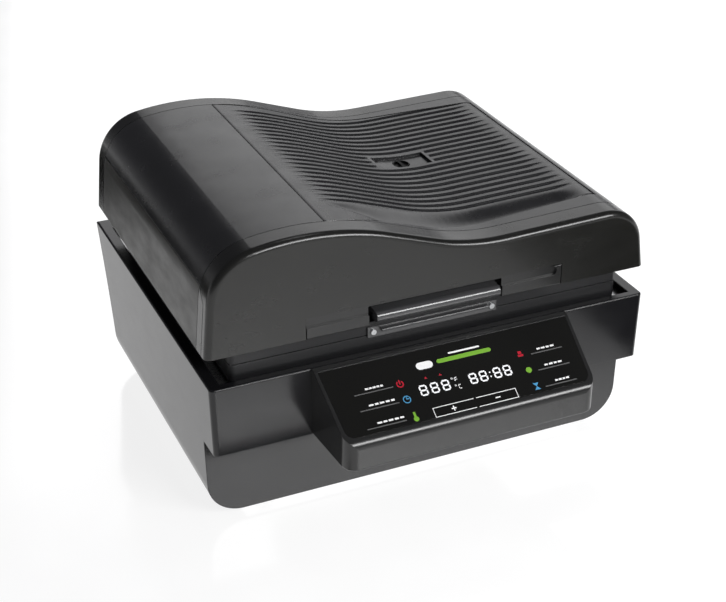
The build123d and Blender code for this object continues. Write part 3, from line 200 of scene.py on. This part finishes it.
def surface(tree, shader, grain, depth, edge):
    """Fine relief of the given depth, over edges that are softened by shading when edge isn't 0."""
    bump = tree.nodes.new("ShaderNodeBump")
    bump.inputs["Strength"].default_value = 1.0
    bump.inputs["Distance"].default_value = depth
    tree.links.new(grain.outputs[0], bump.inputs["Height"])
    if edge:
        bevel = tree.nodes.new("ShaderNodeBevel")
        bevel.samples = 4
        bevel.inputs["Radius"].default_value = edge
        tree.links.new(bevel.outputs["Normal"], bump.inputs["Normal"])
    tree.links.new(bump.outputs["Normal"], shader.inputs["Normal"])


def shade(colour, factor):
    return tuple(min(1.0, channel * factor) for channel in colour)


def plastic(name, colour, rough, grain=1400.0, depth=0.00002, edge=0.0006, gloss=0.5, coat=0.0):
    """Moulded plastic: uneven polish, faint cloudiness and a fine grain."""
    tree, shader = new_material(name)
    cloud = texture(tree, "ShaderNodeTexNoise", Scale=7.0, Detail=5.0, Roughness=0.6)
    ramp(tree, cloud.outputs["Fac"], shader.inputs["Base Color"], shade(colour, 0.88), shade(colour, 1.12))
    smear = texture(tree, "ShaderNodeTexNoise", (1, 1, 2.5), Scale=22.0, Detail=6.0, Roughness=0.55)
    spread(tree, smear.outputs["Fac"], shader.inputs["Roughness"], rough * 0.85, rough * 1.2)
    shader.inputs["Specular IOR Level"].default_value = gloss
    shader.inputs["Coat Weight"].default_value = coat
    shader.inputs["Coat Roughness"].default_value = 0.08
    relief = texture(tree, "ShaderNodeTexNoise", Scale=grain, Detail=3.0, Roughness=0.7)
    surface(tree, shader, relief, depth, edge)


def metal(name, colour, rough, stretch=(1, 1, 1), scale=160.0, depth=0.00001):
    """Metal with fine drawn or rolled marks."""
    tree, shader = new_material(name)
    shader.inputs["Metallic"].default_value = 1.0
    marks = texture(tree, "ShaderNodeTexNoise", stretch, Scale=scale, Detail=4.0, Roughness=0.65)
    ramp(tree, marks.outputs["Fac"], shader.inputs["Base Color"], shade(colour, 0.85), shade(colour, 1.1))
    spread(tree, marks.outputs["Fac"], shader.inputs["Roughness"], rough * 0.7, rough * 1.4)
    surface(tree, shader, marks, depth, 0.0004)


def powder_coat(name, colour):
    tree, shader = new_material(name)
    speck = texture(tree, "ShaderNodeTexNoise", Scale=900.0, Detail=2.0, Roughness=0.5)
    ramp(tree, speck.outputs["Fac"], shader.inputs["Base Color"], shade(colour, 0.8), shade(colour, 1.3))
    spread(tree, speck.outputs["Fac"], shader.inputs["Roughness"], 0.38, 0.55)
    surface(tree, shader, speck, 0.00006, 0.0005)


def rubber(name, colour, rough=0.6):
    tree, shader = new_material(name)
    dust = texture(tree, "ShaderNodeTexNoise", Scale=60.0, Detail=5.0, Roughness=0.6)
    ramp(tree, dust.outputs["Fac"], shader.inputs["Base Color"], shade(colour, 0.85), shade(colour, 1.2))
    spread(tree, dust.outputs["Fac"], shader.inputs["Roughness"], rough * 0.85, rough * 1.15)
    grain = texture(tree, "ShaderNodeTexVoronoi", Scale=1100.0)
    surface(tree, shader, grain, 0.00003, 0.0005)


def wool(name, colour):
    tree, shader = new_material(name)
    fibre = texture(tree, "ShaderNodeTexNoise", (1, 6, 6), Scale=90.0, Detail=8.0, Roughness=0.8)
    ramp(tree, fibre.outputs["Fac"], shader.inputs["Base Color"], shade(colour, 0.6), shade(colour, 1.15))
    shader.inputs["Roughness"].default_value = 0.95
    surface(tree, shader, fibre, 0.0006, 0)


def clear_quartz(name):
    tree, shader = new_material(name)
    frost = texture(tree, "ShaderNodeTexNoise", (1, 4, 4), Scale=40.0, Detail=4.0)
    ramp(tree, frost.outputs["Fac"], shader.inputs["Base Color"], (0.80, 0.72, 0.60), (0.95, 0.93, 0.90))
    spread(tree, frost.outputs["Fac"], shader.inputs["Roughness"], 0.05, 0.2)
    shader.inputs["Transmission Weight"].default_value = 0.55


def printed(name, colour, painted_glow):
    """Ink behind the touch glass, with a faint screen-print mottle, and a painted glow: emission that makes
    the ink look brightly lit though it is no lamp.
    """
    tree, shader = new_material(name)
    mottle = texture(tree, "ShaderNodeTexNoise", Scale=700.0, Detail=2.0)
    ramp(tree, mottle.outputs["Fac"], shader.inputs["Base Color"], shade(colour, 0.9), colour)
    ramp(tree, mottle.outputs["Fac"], shader.inputs["Emission Color"], shade(colour, 0.9), colour)
    # painted glow: the ink emits light so that it reads brighter than the lamps alone make it
    shader.inputs["Emission Strength"].default_value = painted_glow
    shader.inputs["Roughness"].default_value = 0.12


def make_materials():
    plastic("cap_plastic", (0.010, 0.010, 0.009), 0.24, depth=0.00003, gloss=0.42, coat=0.15)
    plastic("cover_plastic", (0.018, 0.018, 0.019), 0.24)
    plastic("side_plastic", (0.032, 0.032, 0.029), 0.36, gloss=0.4)
    plastic("shell_plastic", (0.008, 0.008, 0.009), 0.16, edge=0.0020, gloss=0.42)
    plastic("ribbed_plastic", (0.014, 0.014, 0.015), 0.26)
    plastic("housing_plastic", (0.018, 0.018, 0.018), 0.20, edge=0.0016)
    plastic("handle_plastic", (0.050, 0.050, 0.052), 0.24, coat=0.5)
    plastic("bezel_plastic", (0.012, 0.012, 0.012), 0.22, gloss=0.42, coat=0.2)
    plastic("vent_plastic", (0.003, 0.003, 0.003), 0.5, gloss=0.12)
    plastic("flag_card", (0.01, 0.01, 0.01), 0.9, gloss=0.1)
    plastic("fan_plastic", (0.018, 0.018, 0.019), 0.45)
    plastic("touch_glass", (0.006, 0.006, 0.005), 0.06, depth=0.0, gloss=0.5, coat=0.3)
    plastic("ceramic", (0.78, 0.75, 0.68), 0.5, grain=500.0, depth=0.00008)
    plastic("board_green", (0.02, 0.16, 0.07), 0.35)
    plastic("component_blue", (0.05, 0.09, 0.17), 0.4)
    plastic("display_black", (0.03, 0.03, 0.03), 0.2)
    powder_coat("black_steel", (0.007, 0.007, 0.008))
    metal("zinc_steel", (0.62, 0.63, 0.64), 0.32)
    metal("stainless", (0.66, 0.66, 0.66), 0.28, (1, 14, 14))
    metal("aluminium", (0.80, 0.81, 0.82), 0.24, (1, 10, 10))
    metal("cast_aluminium", (0.55, 0.56, 0.57), 0.45, scale=600.0, depth=0.00005)
    metal("chrome", (0.85, 0.85, 0.86), 0.10)
    metal("brass", (0.72, 0.55, 0.27), 0.25)
    rubber("rubber", (0.020, 0.020, 0.020))
    metal("bolt_steel", (0.24, 0.24, 0.25), 0.40)
    rubber("silicone", (0.030, 0.028, 0.027), 0.38)
    rubber("gasket", (0.40, 0.09, 0.06), 0.5)
    wool("wool", (0.70, 0.64, 0.46))
    clear_quartz("quartz")
    # the last number of each ink is its painted glow
    printed("ink_white", (0.85, 0.85, 0.85), 0.25)
    printed("digit_white", (0.80, 0.81, 0.83), 0.45)
    printed("ink_grey", (0.13, 0.13, 0.13), 0.05)
    printed("ink_red", (0.42, 0.015, 0.03), 0.3)
    printed("ink_blue", (0.07, 0.28, 0.50), 0.3)
    printed("ink_green", (0.17, 0.38, 0.04), 0.3)


SLOT_MATERIALS = {
    "black_abs": "shell_plastic", "ribbed_abs": "ribbed_plastic", "handle_abs": "handle_plastic",
    "panel_glass": "touch_glass", "pcb": "board_green", "component": "component_blue",
    "display": "display_black", "coated_aluminium": "black_steel",
}
NODE_MATERIALS = {
    "lid_front_cap": "cap_plastic", "lid_rear_cap": "cap_plastic", "lid_left_side_panel": "side_plastic",
    "lid_smooth_cover": "cover_plastic", "lid_right_cover": "cover_plastic", "front_bezel": "bezel_plastic",
    "panel_housing": "housing_plastic", "frame_handle_bolts": "bolt_steel",
    "vent_cap": "vent_plastic",
}


def dress_nodes():
    """Give every CAD node the material of its slot, or its own."""
    for part in frame["record"]["subparts"]:
        node, slot = part["node"], part["material_slot"]
        name = NODE_MATERIALS.get(node) or SLOT_MATERIALS.get(slot, slot)
        obj = frame["nodes"][node]
        for entry in obj.material_slots:
            entry.material = LOOKS[name]


# ---------------------------------------------------------------- mesh helpers

def mesh_object(name, points, faces, material):
    mesh = bpy.data.meshes.new(name)
    mesh.from_pydata([tuple(p) for p in points], [], faces)
    mesh.update()
    obj = bpy.data.objects.new(name, mesh)
    mesh.materials.append(LOOKS[material])
    bpy.context.scene.collection.objects.link(obj)
    return obj


def smooth(obj, angle):
    """Smooth shading, with edges sharper than the angle in degrees kept crisp."""
    for polygon in obj.data.polygons:
        polygon.use_smooth = True
    obj.data.set_sharp_from_angle(angle=math.radians(angle))


def attach(obj, body):
    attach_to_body(obj, body)


def tree_of(node):
    mesh = frame["nodes"][node].data
    return BVHTree.FromPolygons([v.co for v in mesh.vertices], [tuple(p.vertices) for p in mesh.polygons])


# ---------------------------------------------------------------- ribbed cover

RIB_PITCH = 16 * MM
RIB_COUNT = 22
RIB_FIRST_Y = -108 * MM
RIB_DEPTH = 2.6 * MM
RIB_SHAPE = (0.38, 0.95)     # the parts of the wave where a groove starts and is fully deep
RIB_LEFT_FADE = (-132 * MM, -80 * MM)
RIB_RIGHT_FADE = (228 * MM, 264 * MM)
SCOOP_BACK_Y = RIB_FIRST_Y - 7 * MM
SCOOP_DEPTH = 5.5 * MM
SCOOP_WIDTHS = (0.12, 1.1)   # share of the way to the seam: at the left, and what is added to the right
SCOOP_FALL = (0.0, 0.7)
SCOOP_RISE = (0.85, 1.1)
SCOOP_LEFT_FADE = (-125 * MM, -100 * MM)
SCOOP_RIGHT_FADE = (215 * MM, 262 * MM)
SCOOP_WIDENING = (-130 * MM, -35 * MM)
COVER_THICKNESS = 3.6 * MM
COVER_TAPER = 31 * MM        # how much each side comes in between the left and the right edge
COVER_ROUNDING = 1.0 * MM
COVER_STEP = 2.2 * MM
COVER_ROWS = 600
POCKET_X = (37 * MM, 118 * MM)
POCKET_Y = (47 * MM, 86 * MM)
POCKET_DEPTH = 4 * MM
POCKET_BAND = (4.2 * MM, 9.1 * MM)   # the ribs fade in this far from the pocket
POCKET_WALL_HALF = 0.3 * MM
CAP_INSET = 3 * MM           # the profile is read this far inside the front cap's rear edge
VENT_SEAT_Z = 355.9 * MM
VENT_GAP = 0.3 * MM
VENT_REACH = 14 * MM         # the grid is finer this far from the vent's centre


def ease(value, low, high):
    """0 below low, 1 above high, and smooth between."""
    t = min(1.0, max(0.0, (value - low) / (high - low)))
    return t * t * (3 - 2 * t)


def rib_relief(x, y):
    """Depth of the grooves at a point of the cover."""
    fade = ease(x, *RIB_LEFT_FADE) * (1 - ease(x, *RIB_RIGHT_FADE))
    phase = (y - RIB_FIRST_Y) / RIB_PITCH
    if phase < -0.5 or phase > RIB_COUNT - 0.5:
        return 0.0
    wave = 0.5 + 0.5 * math.cos(2 * math.pi * phase)
    outside = max(POCKET_X[0] - x, x - POCKET_X[1], POCKET_Y[0] - y, y - POCKET_Y[1])
    return RIB_DEPTH * fade * ease(wave, *RIB_SHAPE) * ease(outside, *POCKET_BAND)


def scoop_relief(x, y, seam_y):
    """Depth of the hollow between the first rib and the front seam."""
    reach = (SCOOP_BACK_Y - y) / (SCOOP_BACK_Y - seam_y)
    if reach <= 0:
        return 0.0
    width = SCOOP_WIDTHS[0] + SCOOP_WIDTHS[1] * ease(x, *SCOOP_WIDENING)
    inside = reach / width
    fade = ease(x, *SCOOP_LEFT_FADE) * (1 - ease(x, *SCOOP_RIGHT_FADE))
    hollow = ease(inside, *SCOOP_FALL) * (1 - ease(inside, *SCOOP_RISE))
    return SCOOP_DEPTH * fade * min(1.0, width) * hollow


def in_pocket(x, y):
    return POCKET_X[0] < x < POCKET_X[1] and POCKET_Y[0] < y < POCKET_Y[1]


def grid_lines(low, high, step, extra=(), fine=()):
    """Even lines from low to high, a close pair at each extra value, denser between the fine ones."""
    count = round((high - low) / step)
    lines = [low + (high - low) * i / count for i in range(count + 1)]
    if fine:
        dense = round((fine[1] - fine[0]) / (step / 3))
        lines = [line for line in lines if line < fine[0] or line > fine[1]]
        lines += [fine[0] + (fine[1] - fine[0]) * i / dense for i in range(dense + 1)]
    for value in extra:
        lines = [line for line in lines if abs(line - value) > step * 0.6 or line in (low, high)]
        lines += [value - POCKET_WALL_HALF, value + POCKET_WALL_HALF]
    return sorted(lines)


def cap_profile(xs):
    """Height of the lid's top at each station along x."""
    cap = tree_of("lid_front_cap")
    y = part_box("lid_front_cap")[1].y - CAP_INSET
    return {x: cap.ray_cast(Vector((x, y, 1.0)), Vector((0, 0, -1)))[0].z for x in xs}


def cover_height(x, y, top, seam_y, edge, vent, vent_radius):
    """Height of the cover's outer face at (x, y), where edge is the distance to the nearest edge."""
    if in_pocket(x, y):
        seat = math.hypot(x - vent.x, y - vent.y) < vent_radius
        return min(top - POCKET_DEPTH, VENT_SEAT_Z) if seat else top - POCKET_DEPTH
    z = top - rib_relief(x, y) - scoop_relief(x, y, seam_y)
    if edge < COVER_ROUNDING:
        z -= COVER_ROUNDING - math.sqrt(COVER_ROUNDING ** 2 - (COVER_ROUNDING - edge) ** 2)
    return z


def cover_points(low, high):
    """Outer points of the cover, row by row along y at each station along x, and the row's length."""
    vent_low, vent_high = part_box("vent_cap")
    vent = (vent_low + vent_high) / 2
    vent_radius = (vent_high.x - vent_low.x) / 2 + VENT_GAP
    mid_y, half = (low.y + high.y) / 2, (high.y - low.y) / 2
    xs = grid_lines(low.x, high.x, COVER_STEP, POCKET_X, (vent.x - VENT_REACH, vent.x + VENT_REACH))
    rows = grid_lines(-1.0, 1.0, 2.0 / COVER_ROWS)
    profile = cap_profile(xs)
    points = []
    for x in xs:
        span = half - COVER_TAPER * (x - low.x) / (high.x - low.x)
        for t in rows:
            y = mid_y + span * t
            edge = min(x - low.x, high.x - x, span * (1 - abs(t)))
            z = cover_height(x, y, profile[x], mid_y - span, edge, vent, vent_radius)
            points.append((x, y, z))
    return points, len(rows)


def shell_faces(columns, per):
    """Faces of a closed shell: an outer grid, an inner grid after it, and the rim between them."""
    under = columns * per
    faces = []
    for i in range(columns - 1):
        for j in range(per - 1):
            a, b = i * per + j, (i + 1) * per + j
            faces.append((a, b, b + 1, a + 1))
            faces.append((a + under, a + 1 + under, b + 1 + under, b + under))
    rim = list(range(per))
    rim += [i * per + per - 1 for i in range(1, columns)]
    rim += [(columns - 1) * per + j for j in range(per - 2, -1, -1)]
    rim += [i * per for i in range(columns - 2, 0, -1)]
    for k, a in enumerate(rim):
        b = rim[(k + 1) % len(rim)]
        faces.append((a, b, b + under, a + under))
    return faces


def make_ribbed_cover():
    """The cover as a fine shell with rounded ribs that fade out at both ends."""
    points, per = cover_points(*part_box("lid_ribbed_cover"))
    faces = shell_faces(len(points) // per, per)
    points += [(x, y, z - COVER_THICKNESS) for x, y, z in points]
    cover = mesh_object("ribbed_cover", points, faces, "ribbed_plastic")
    smooth(cover, 40)
    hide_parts("lid_ribbed_cover")
    attach(cover, "lid")


# ---------------------------------------------------------------- lid handle

HANDLE_NOSE = 8 * MM
HANDLE_LIFT = 0.2 * MM
HANDLE_EDGE = 0.8 * MM
HANDLE_END_SCALE = 0.94
HANDLE_UNDERCUT = 3 * MM
NOSE_START, NOSE_END, NOSE_STEP = 285, 105, 10     # degrees, from under the nose over to its top
TOP_STEPS = 8


def handle_profile(low, high):
    """Section of the handle: a dished top that runs into a round nose, and an undercut."""
    y, z = low.y + HANDLE_NOSE, low.z + HANDLE_NOSE + HANDLE_LIFT
    points = []
    for degrees in range(NOSE_START, NOSE_END - 1, -NOSE_STEP):
        angle = math.radians(degrees)
        points.append((y + HANDLE_NOSE * math.cos(angle), z + HANDLE_NOSE * math.sin(angle)))
    start = points[-1]
    for k in range(1, TOP_STEPS + 1):
        t = k / TOP_STEPS
        points.append((start[0] + (high.y - start[0]) * t, start[1] + (high.z - start[1]) * t * t))
    points.append((high.y, low.z))
    points.append((low.y + 2.6 * HANDLE_NOSE, low.z + HANDLE_UNDERCUT))
    return points


def make_handle():
    """The pull along the lid's front edge, with softened ends."""
    low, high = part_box("lid_handle")
    outline = handle_profile(low, high)
    count = len(outline)
    mid_y = sum(p[0] for p in outline) / count
    mid_z = sum(p[1] for p in outline) / count
    sections = ((low.x, HANDLE_END_SCALE), (low.x + HANDLE_EDGE, 1.0),
                (high.x - HANDLE_EDGE, 1.0), (high.x, HANDLE_END_SCALE))
    points = []
    for x, scale in sections:
        points += [(x, mid_y + (y - mid_y) * scale, mid_z + (z - mid_z) * scale) for y, z in outline]
    faces = [tuple(range(count)), tuple(range(4 * count - 1, 3 * count - 1, -1))]
    for ring_start in (0, count, 2 * count):
        for k in range(count):
            a, b = ring_start + k, ring_start + (k + 1) % count
            faces.append((a, a + count, b + count, b))
    handle = mesh_object("handle_bar", points, faces, "handle_plastic")
    smooth(handle, 30)
    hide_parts("lid_handle")
    attach(handle, "lid")


# ---------------------------------------------------------------- prints on the touch glass

TOP_FACE_TOLERANCE = 0.2 * MM
ORIGIN_ABOVE_EDGE = 2.8 * MM


class Face:
    """The glass's top face: u to the right, v up the slope, in millimetres from just above its top."""

    def __init__(self):
        mesh = frame["nodes"]["panel_glass"].data
        best = max(mesh.polygons, key=lambda p: p.area if p.normal.z > 0.3 else 0)
        self.normal = best.normal.copy()
        self.right = Vector((1, 0, 0))
        self.up = self.normal.cross(self.right).normalized()
        low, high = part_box("panel_glass")
        heights = [v.co.dot(self.normal) for v in mesh.vertices]
        height = max(heights)
        ups = [v.co.dot(self.up) for v, h in zip(mesh.vertices, heights) if h > height - TOP_FACE_TOLERANCE]
        centre_x = (low.x + high.x) / 2
        top = max(ups) + ORIGIN_ABOVE_EDGE
        self.origin = self.right * centre_x + self.up * top + self.normal * height

    def at(self, u, v, w=0.0):
        return self.origin + self.right * (u * MM) + self.up * (v * MM) + self.normal * (w * MM)


INK = 0.12                   # thickness of a print; every print's size is in millimetres
RING_STEPS = 32
DISC_STEPS = 24
PILL_STEPS = 6


def prism(outline, at, points, faces):
    """Add a thin raised shape with the outline given, counter-clockwise."""
    start = len(points)
    count = len(outline)
    for w in (0.0, INK):
        points += [at(u, v, w) for u, v in outline]
    faces.append(tuple(range(start + count, start + 2 * count)))
    faces.append(tuple(range(start + count - 1, start - 1, -1)))
    for k in range(count):
        a, b = start + k, start + (k + 1) % count
        faces.append((a, b, b + count, a + count))


def ring(cu, cv, outer, inner, start, end, at, points, faces):
    """Add a thin raised arc or full ring, angles in degrees."""
    full = abs(end - start) >= 360
    base = len(points)
    count = RING_STEPS if full else RING_STEPS + 1
    for k in range(count):
        angle = math.radians(start + (end - start) * k / RING_STEPS)
        for radius in (inner, outer):
            for w in (0.0, INK):
                points.append(at(cu + radius * math.cos(angle), cv + radius * math.sin(angle), w))
    for k in range(RING_STEPS):
        a = base + 4 * k
        b = base + 4 * ((k + 1) % count)
        faces += [(a + 1, a + 3, b + 3, b + 1), (a, b, b + 2, a + 2),
                  (a + 2, b + 2, b + 3, a + 3), (a, a + 1, b + 1, b)]
    if not full:
        a, b = base, base + 4 * RING_STEPS
        faces += [(a, a + 2, a + 3, a + 1), (b, b + 1, b + 3, b + 2)]


def disc_outline(cu, cv, radius):
    angles = [2 * math.pi * k / DISC_STEPS for k in range(DISC_STEPS)]
    return [(cu + radius * math.cos(angle), cv + radius * math.sin(angle)) for angle in angles]


def bar_outline(u0, v0, u1, v1):
    return [(u0, v0), (u1, v0), (u1, v1), (u0, v1)]


def pill_outline(u0, u1, v, half):
    """A bar with round ends."""
    points = []
    for centre, begin in ((u1 - half, -90), (u0 + half, 90)):
        for k in range(PILL_STEPS + 1):
            angle = math.radians(begin + 180 * k / PILL_STEPS)
            points.append((centre + half * math.cos(angle), v + half * math.sin(angle)))
    return points


def segment(u, v, length, width, upright):
    """One bar of a seven-segment digit, with pointed ends."""
    h, w = length / 2, width / 2
    flat = [(-h, 0), (-h + w, -w), (h - w, -w), (h, 0), (h - w, w), (-h + w, w)]
    if upright:
        return [(u - b, v + a) for a, b in flat]
    return [(u + a, v + b) for a, b in flat]


def digit(u, v, width, height, stroke, lit="abcdefg"):
    """Outlines of a seven-segment digit centred on (u, v)."""
    half_w, half_h = (width - stroke) / 2, (height - stroke) / 2
    gap = 0.5
    across, along = 2 * half_w - gap, half_h - gap
    bars = {
        "a": (0, half_h, across, False), "d": (0, -half_h, across, False), "g": (0, 0, across, False),
        "b": (half_w, half_h / 2, along, True), "c": (half_w, -half_h / 2, along, True),
        "f": (-half_w, half_h / 2, along, True), "e": (-half_w, -half_h / 2, along, True),
    }
    outlines = []
    for key in lit:
        du, dv, length, upright = bars[key]
        outlines.append([(u + a, v + b) for a, b in segment(du, dv, length, stroke, upright)])
    return outlines


def print_piece(name, material, outlines=(), rings=()):
    """One piece of the base made of prints that share an ink."""
    face = Face()
    points, faces = [], []
    for outline in outlines:
        prism(outline, face.at, points, faces)
    for values in rings:
        ring(*values, face.at, points, faces)
    piece = mesh_object(name, points, faces, material)
    attach(piece, "base")


BLOCK_HALF = 1.25
BLOCK_GAP = 0.9


def dashes(u0, u1, v, widths):
    """A generic caption: a row of small blocks with no letters."""
    scale = (u1 - u0) / (sum(widths) + BLOCK_GAP * (len(widths) - 1))
    outlines = []
    u = u0
    for width in widths:
        outlines.append(bar_outline(u, v - BLOCK_HALF, u + width * scale, v + BLOCK_HALF))
        u += (width + BLOCK_GAP) * scale
    return outlines


LEFT_ROWS = (-44, -67, -93)
LEFT_ICONS = (-82, -81, -79)
LEFT_CAPTIONS = ((-130, -105), (-133, -97), (-131, -94))
LEFT_LINE = (-147, -92)
RIGHT_ROWS = (-42, -67, -92)
RIGHT_ICONS = (95, 97.4, 98.3)
RIGHT_CAPTIONS = ((121, 147), (122, 148), (127, 148))
RIGHT_LINE = (110, 158)
LINE_HALF = 0.7


def make_prints():
    captions, lines = [], []
    for v, (u0, u1) in zip(LEFT_ROWS, LEFT_CAPTIONS):
        captions += dashes(u0, u1, v + 4, (3, 2.4, 3, 2.6, 2.4))
        lines.append(pill_outline(*LEFT_LINE, v - 1.5, LINE_HALF))
    for v, (u0, u1) in zip(RIGHT_ROWS, RIGHT_CAPTIONS):
        captions += dashes(u0, u1, v + 1.8, (2.6, 3, 2.4, 3))
        lines.append(pill_outline(*RIGHT_LINE, v - 3.4, LINE_HALF))
    print_piece("caption_prints", "ink_white", captions)
    print_piece("underline_prints", "ink_grey", lines)
    make_left_icons()
    make_right_icons()
    make_digits()
    make_plus_minus()
    print_piece("header_bar_white", "ink_white", [pill_outline(-52, -28, -26, 5.2),
                                                  pill_outline(-2, 44, -17, 1.2)])
    print_piece("header_bar_green", "ink_green", [pill_outline(-22, 58, -25, 3.0)])


def make_left_icons():
    """An open ring with a bar, a clock face with two hands, and a thermometer."""
    u, v = LEFT_ICONS[0], LEFT_ROWS[0]
    print_piece("power_icon", "ink_red", [bar_outline(u - 0.9, v - 0.5, u + 0.9, v + 6)],
                [(u, v, 5.2, 3.4, 125, 415)])
    u, v = LEFT_ICONS[1], LEFT_ROWS[1]
    hands = [bar_outline(u - 0.6, v, u + 0.6, v + 3.4), bar_outline(u + 0.6, v, u + 3.4, v + 1.2)]
    print_piece("clock_icon", "ink_blue", hands, [(u, v, 5.4, 4.2, 0, 360)])
    u, v = LEFT_ICONS[2], LEFT_ROWS[2]
    print_piece("thermometer_icon", "ink_green", [disc_outline(u, v - 3, 3.6),
                                                  bar_outline(u - 1.6, v - 1, u + 1.6, v + 7)])


def make_right_icons():
    """Two blocks, a dot, and an hourglass."""
    u, v = RIGHT_ICONS[0], RIGHT_ROWS[0]
    print_piece("mode_icon", "ink_red", [bar_outline(u - 4, v - 3.5, u + 4, v - 0.6),
                                         bar_outline(u - 2.5, v + 0.4, u + 2.5, v + 4.5)])
    u, v = RIGHT_ICONS[1], RIGHT_ROWS[1]
    print_piece("vacuum_icon", "ink_green", [disc_outline(u, v, 4.2)])
    u, v = RIGHT_ICONS[2], RIGHT_ROWS[2]
    print_piece("timer_icon", "ink_blue", [[(u - 4.3, v + 5), (u, v), (u + 4.3, v + 5)],
                                           [(u - 4.3, v - 5), (u + 4.3, v - 5), (u, v)]])


DIGIT_US = (-54.5, -38.5, -22.5, 17.5, 32.5, 53.0, 68.0)
DIGIT_V = -60.2
DIGIT_SIZE = (11.2, 15.6, 2.2)       # width, height, stroke
UNIT_SIZE = (4.8, 6.6, 1.1)
ZONE_MARK_US = (-45.5, -24.5)


def make_digits():
    """Readings of 888 and 88:88, the two temperature units, and two small marks over the first reading."""
    outlines = []
    for u in DIGIT_US:
        outlines += digit(u, DIGIT_V, *DIGIT_SIZE)
    outlines += [disc_outline(43, -57.2, 1.1), disc_outline(42.6, -63.2, 1.1)]
    print_piece("digit_segments", "digit_white", outlines)
    units = digit(-6.0, -55.5, *UNIT_SIZE, "aefg") + digit(-4.0, -66.5, *UNIT_SIZE, "adef")
    print_piece("unit_segments", "ink_white", units, [(-11.6, -53.2, 1.3, 0.7, 0, 360),
                                                      (-9.8, -64, 1.3, 0.7, 0, 360)])
    marks = [[(u - 2.2, -45.0), (u + 2.2, -45.0), (u, -42.0)] for u in ZONE_MARK_US]
    print_piece("zone_marks", "ink_red", marks)


KEY_V = (-101, -87)
PLUS_KEY = (-53, 6)
MINUS_KEY = (10, 68)
KEY_STROKE = 0.9
SIGN_V = -94
PLUS_U = -24.5
MINUS_U = 39.5
SIGN_ARM = 3.5
SIGN_HALF = 0.8


def make_plus_minus():
    """Two key outlines, open where they face each other, with a plus and a minus sign."""
    v0, v1 = KEY_V
    outlines = []
    for (u0, u1), end in ((PLUS_KEY, PLUS_KEY[0]), (MINUS_KEY, MINUS_KEY[1] - KEY_STROKE)):
        outlines += [bar_outline(u0, v0, u1, v0 + KEY_STROKE), bar_outline(u0, v1 - KEY_STROKE, u1, v1)]
        outlines.append(bar_outline(end, v0 + KEY_STROKE, end + KEY_STROKE, v1 - KEY_STROKE))
    print_piece("key_outline", "ink_white", outlines)
    low, high = SIGN_V - SIGN_HALF, SIGN_V + SIGN_HALF
    left, right = PLUS_U - SIGN_HALF, PLUS_U + SIGN_HALF
    signs = [bar_outline(PLUS_U - SIGN_ARM, low, PLUS_U + SIGN_ARM, high),
             bar_outline(left, SIGN_V - SIGN_ARM, right, low),
             bar_outline(left, high, right, SIGN_V + SIGN_ARM),
             bar_outline(MINUS_U - SIGN_ARM, low, MINUS_U + SIGN_ARM, high)]
    print_piece("plus_minus_signs", "ink_white", signs)


# ---------------------------------------------------------------- build

make_materials()
add_camera()
add_studio()
dress_nodes()
make_ribbed_cover()
make_handle()
make_prints()
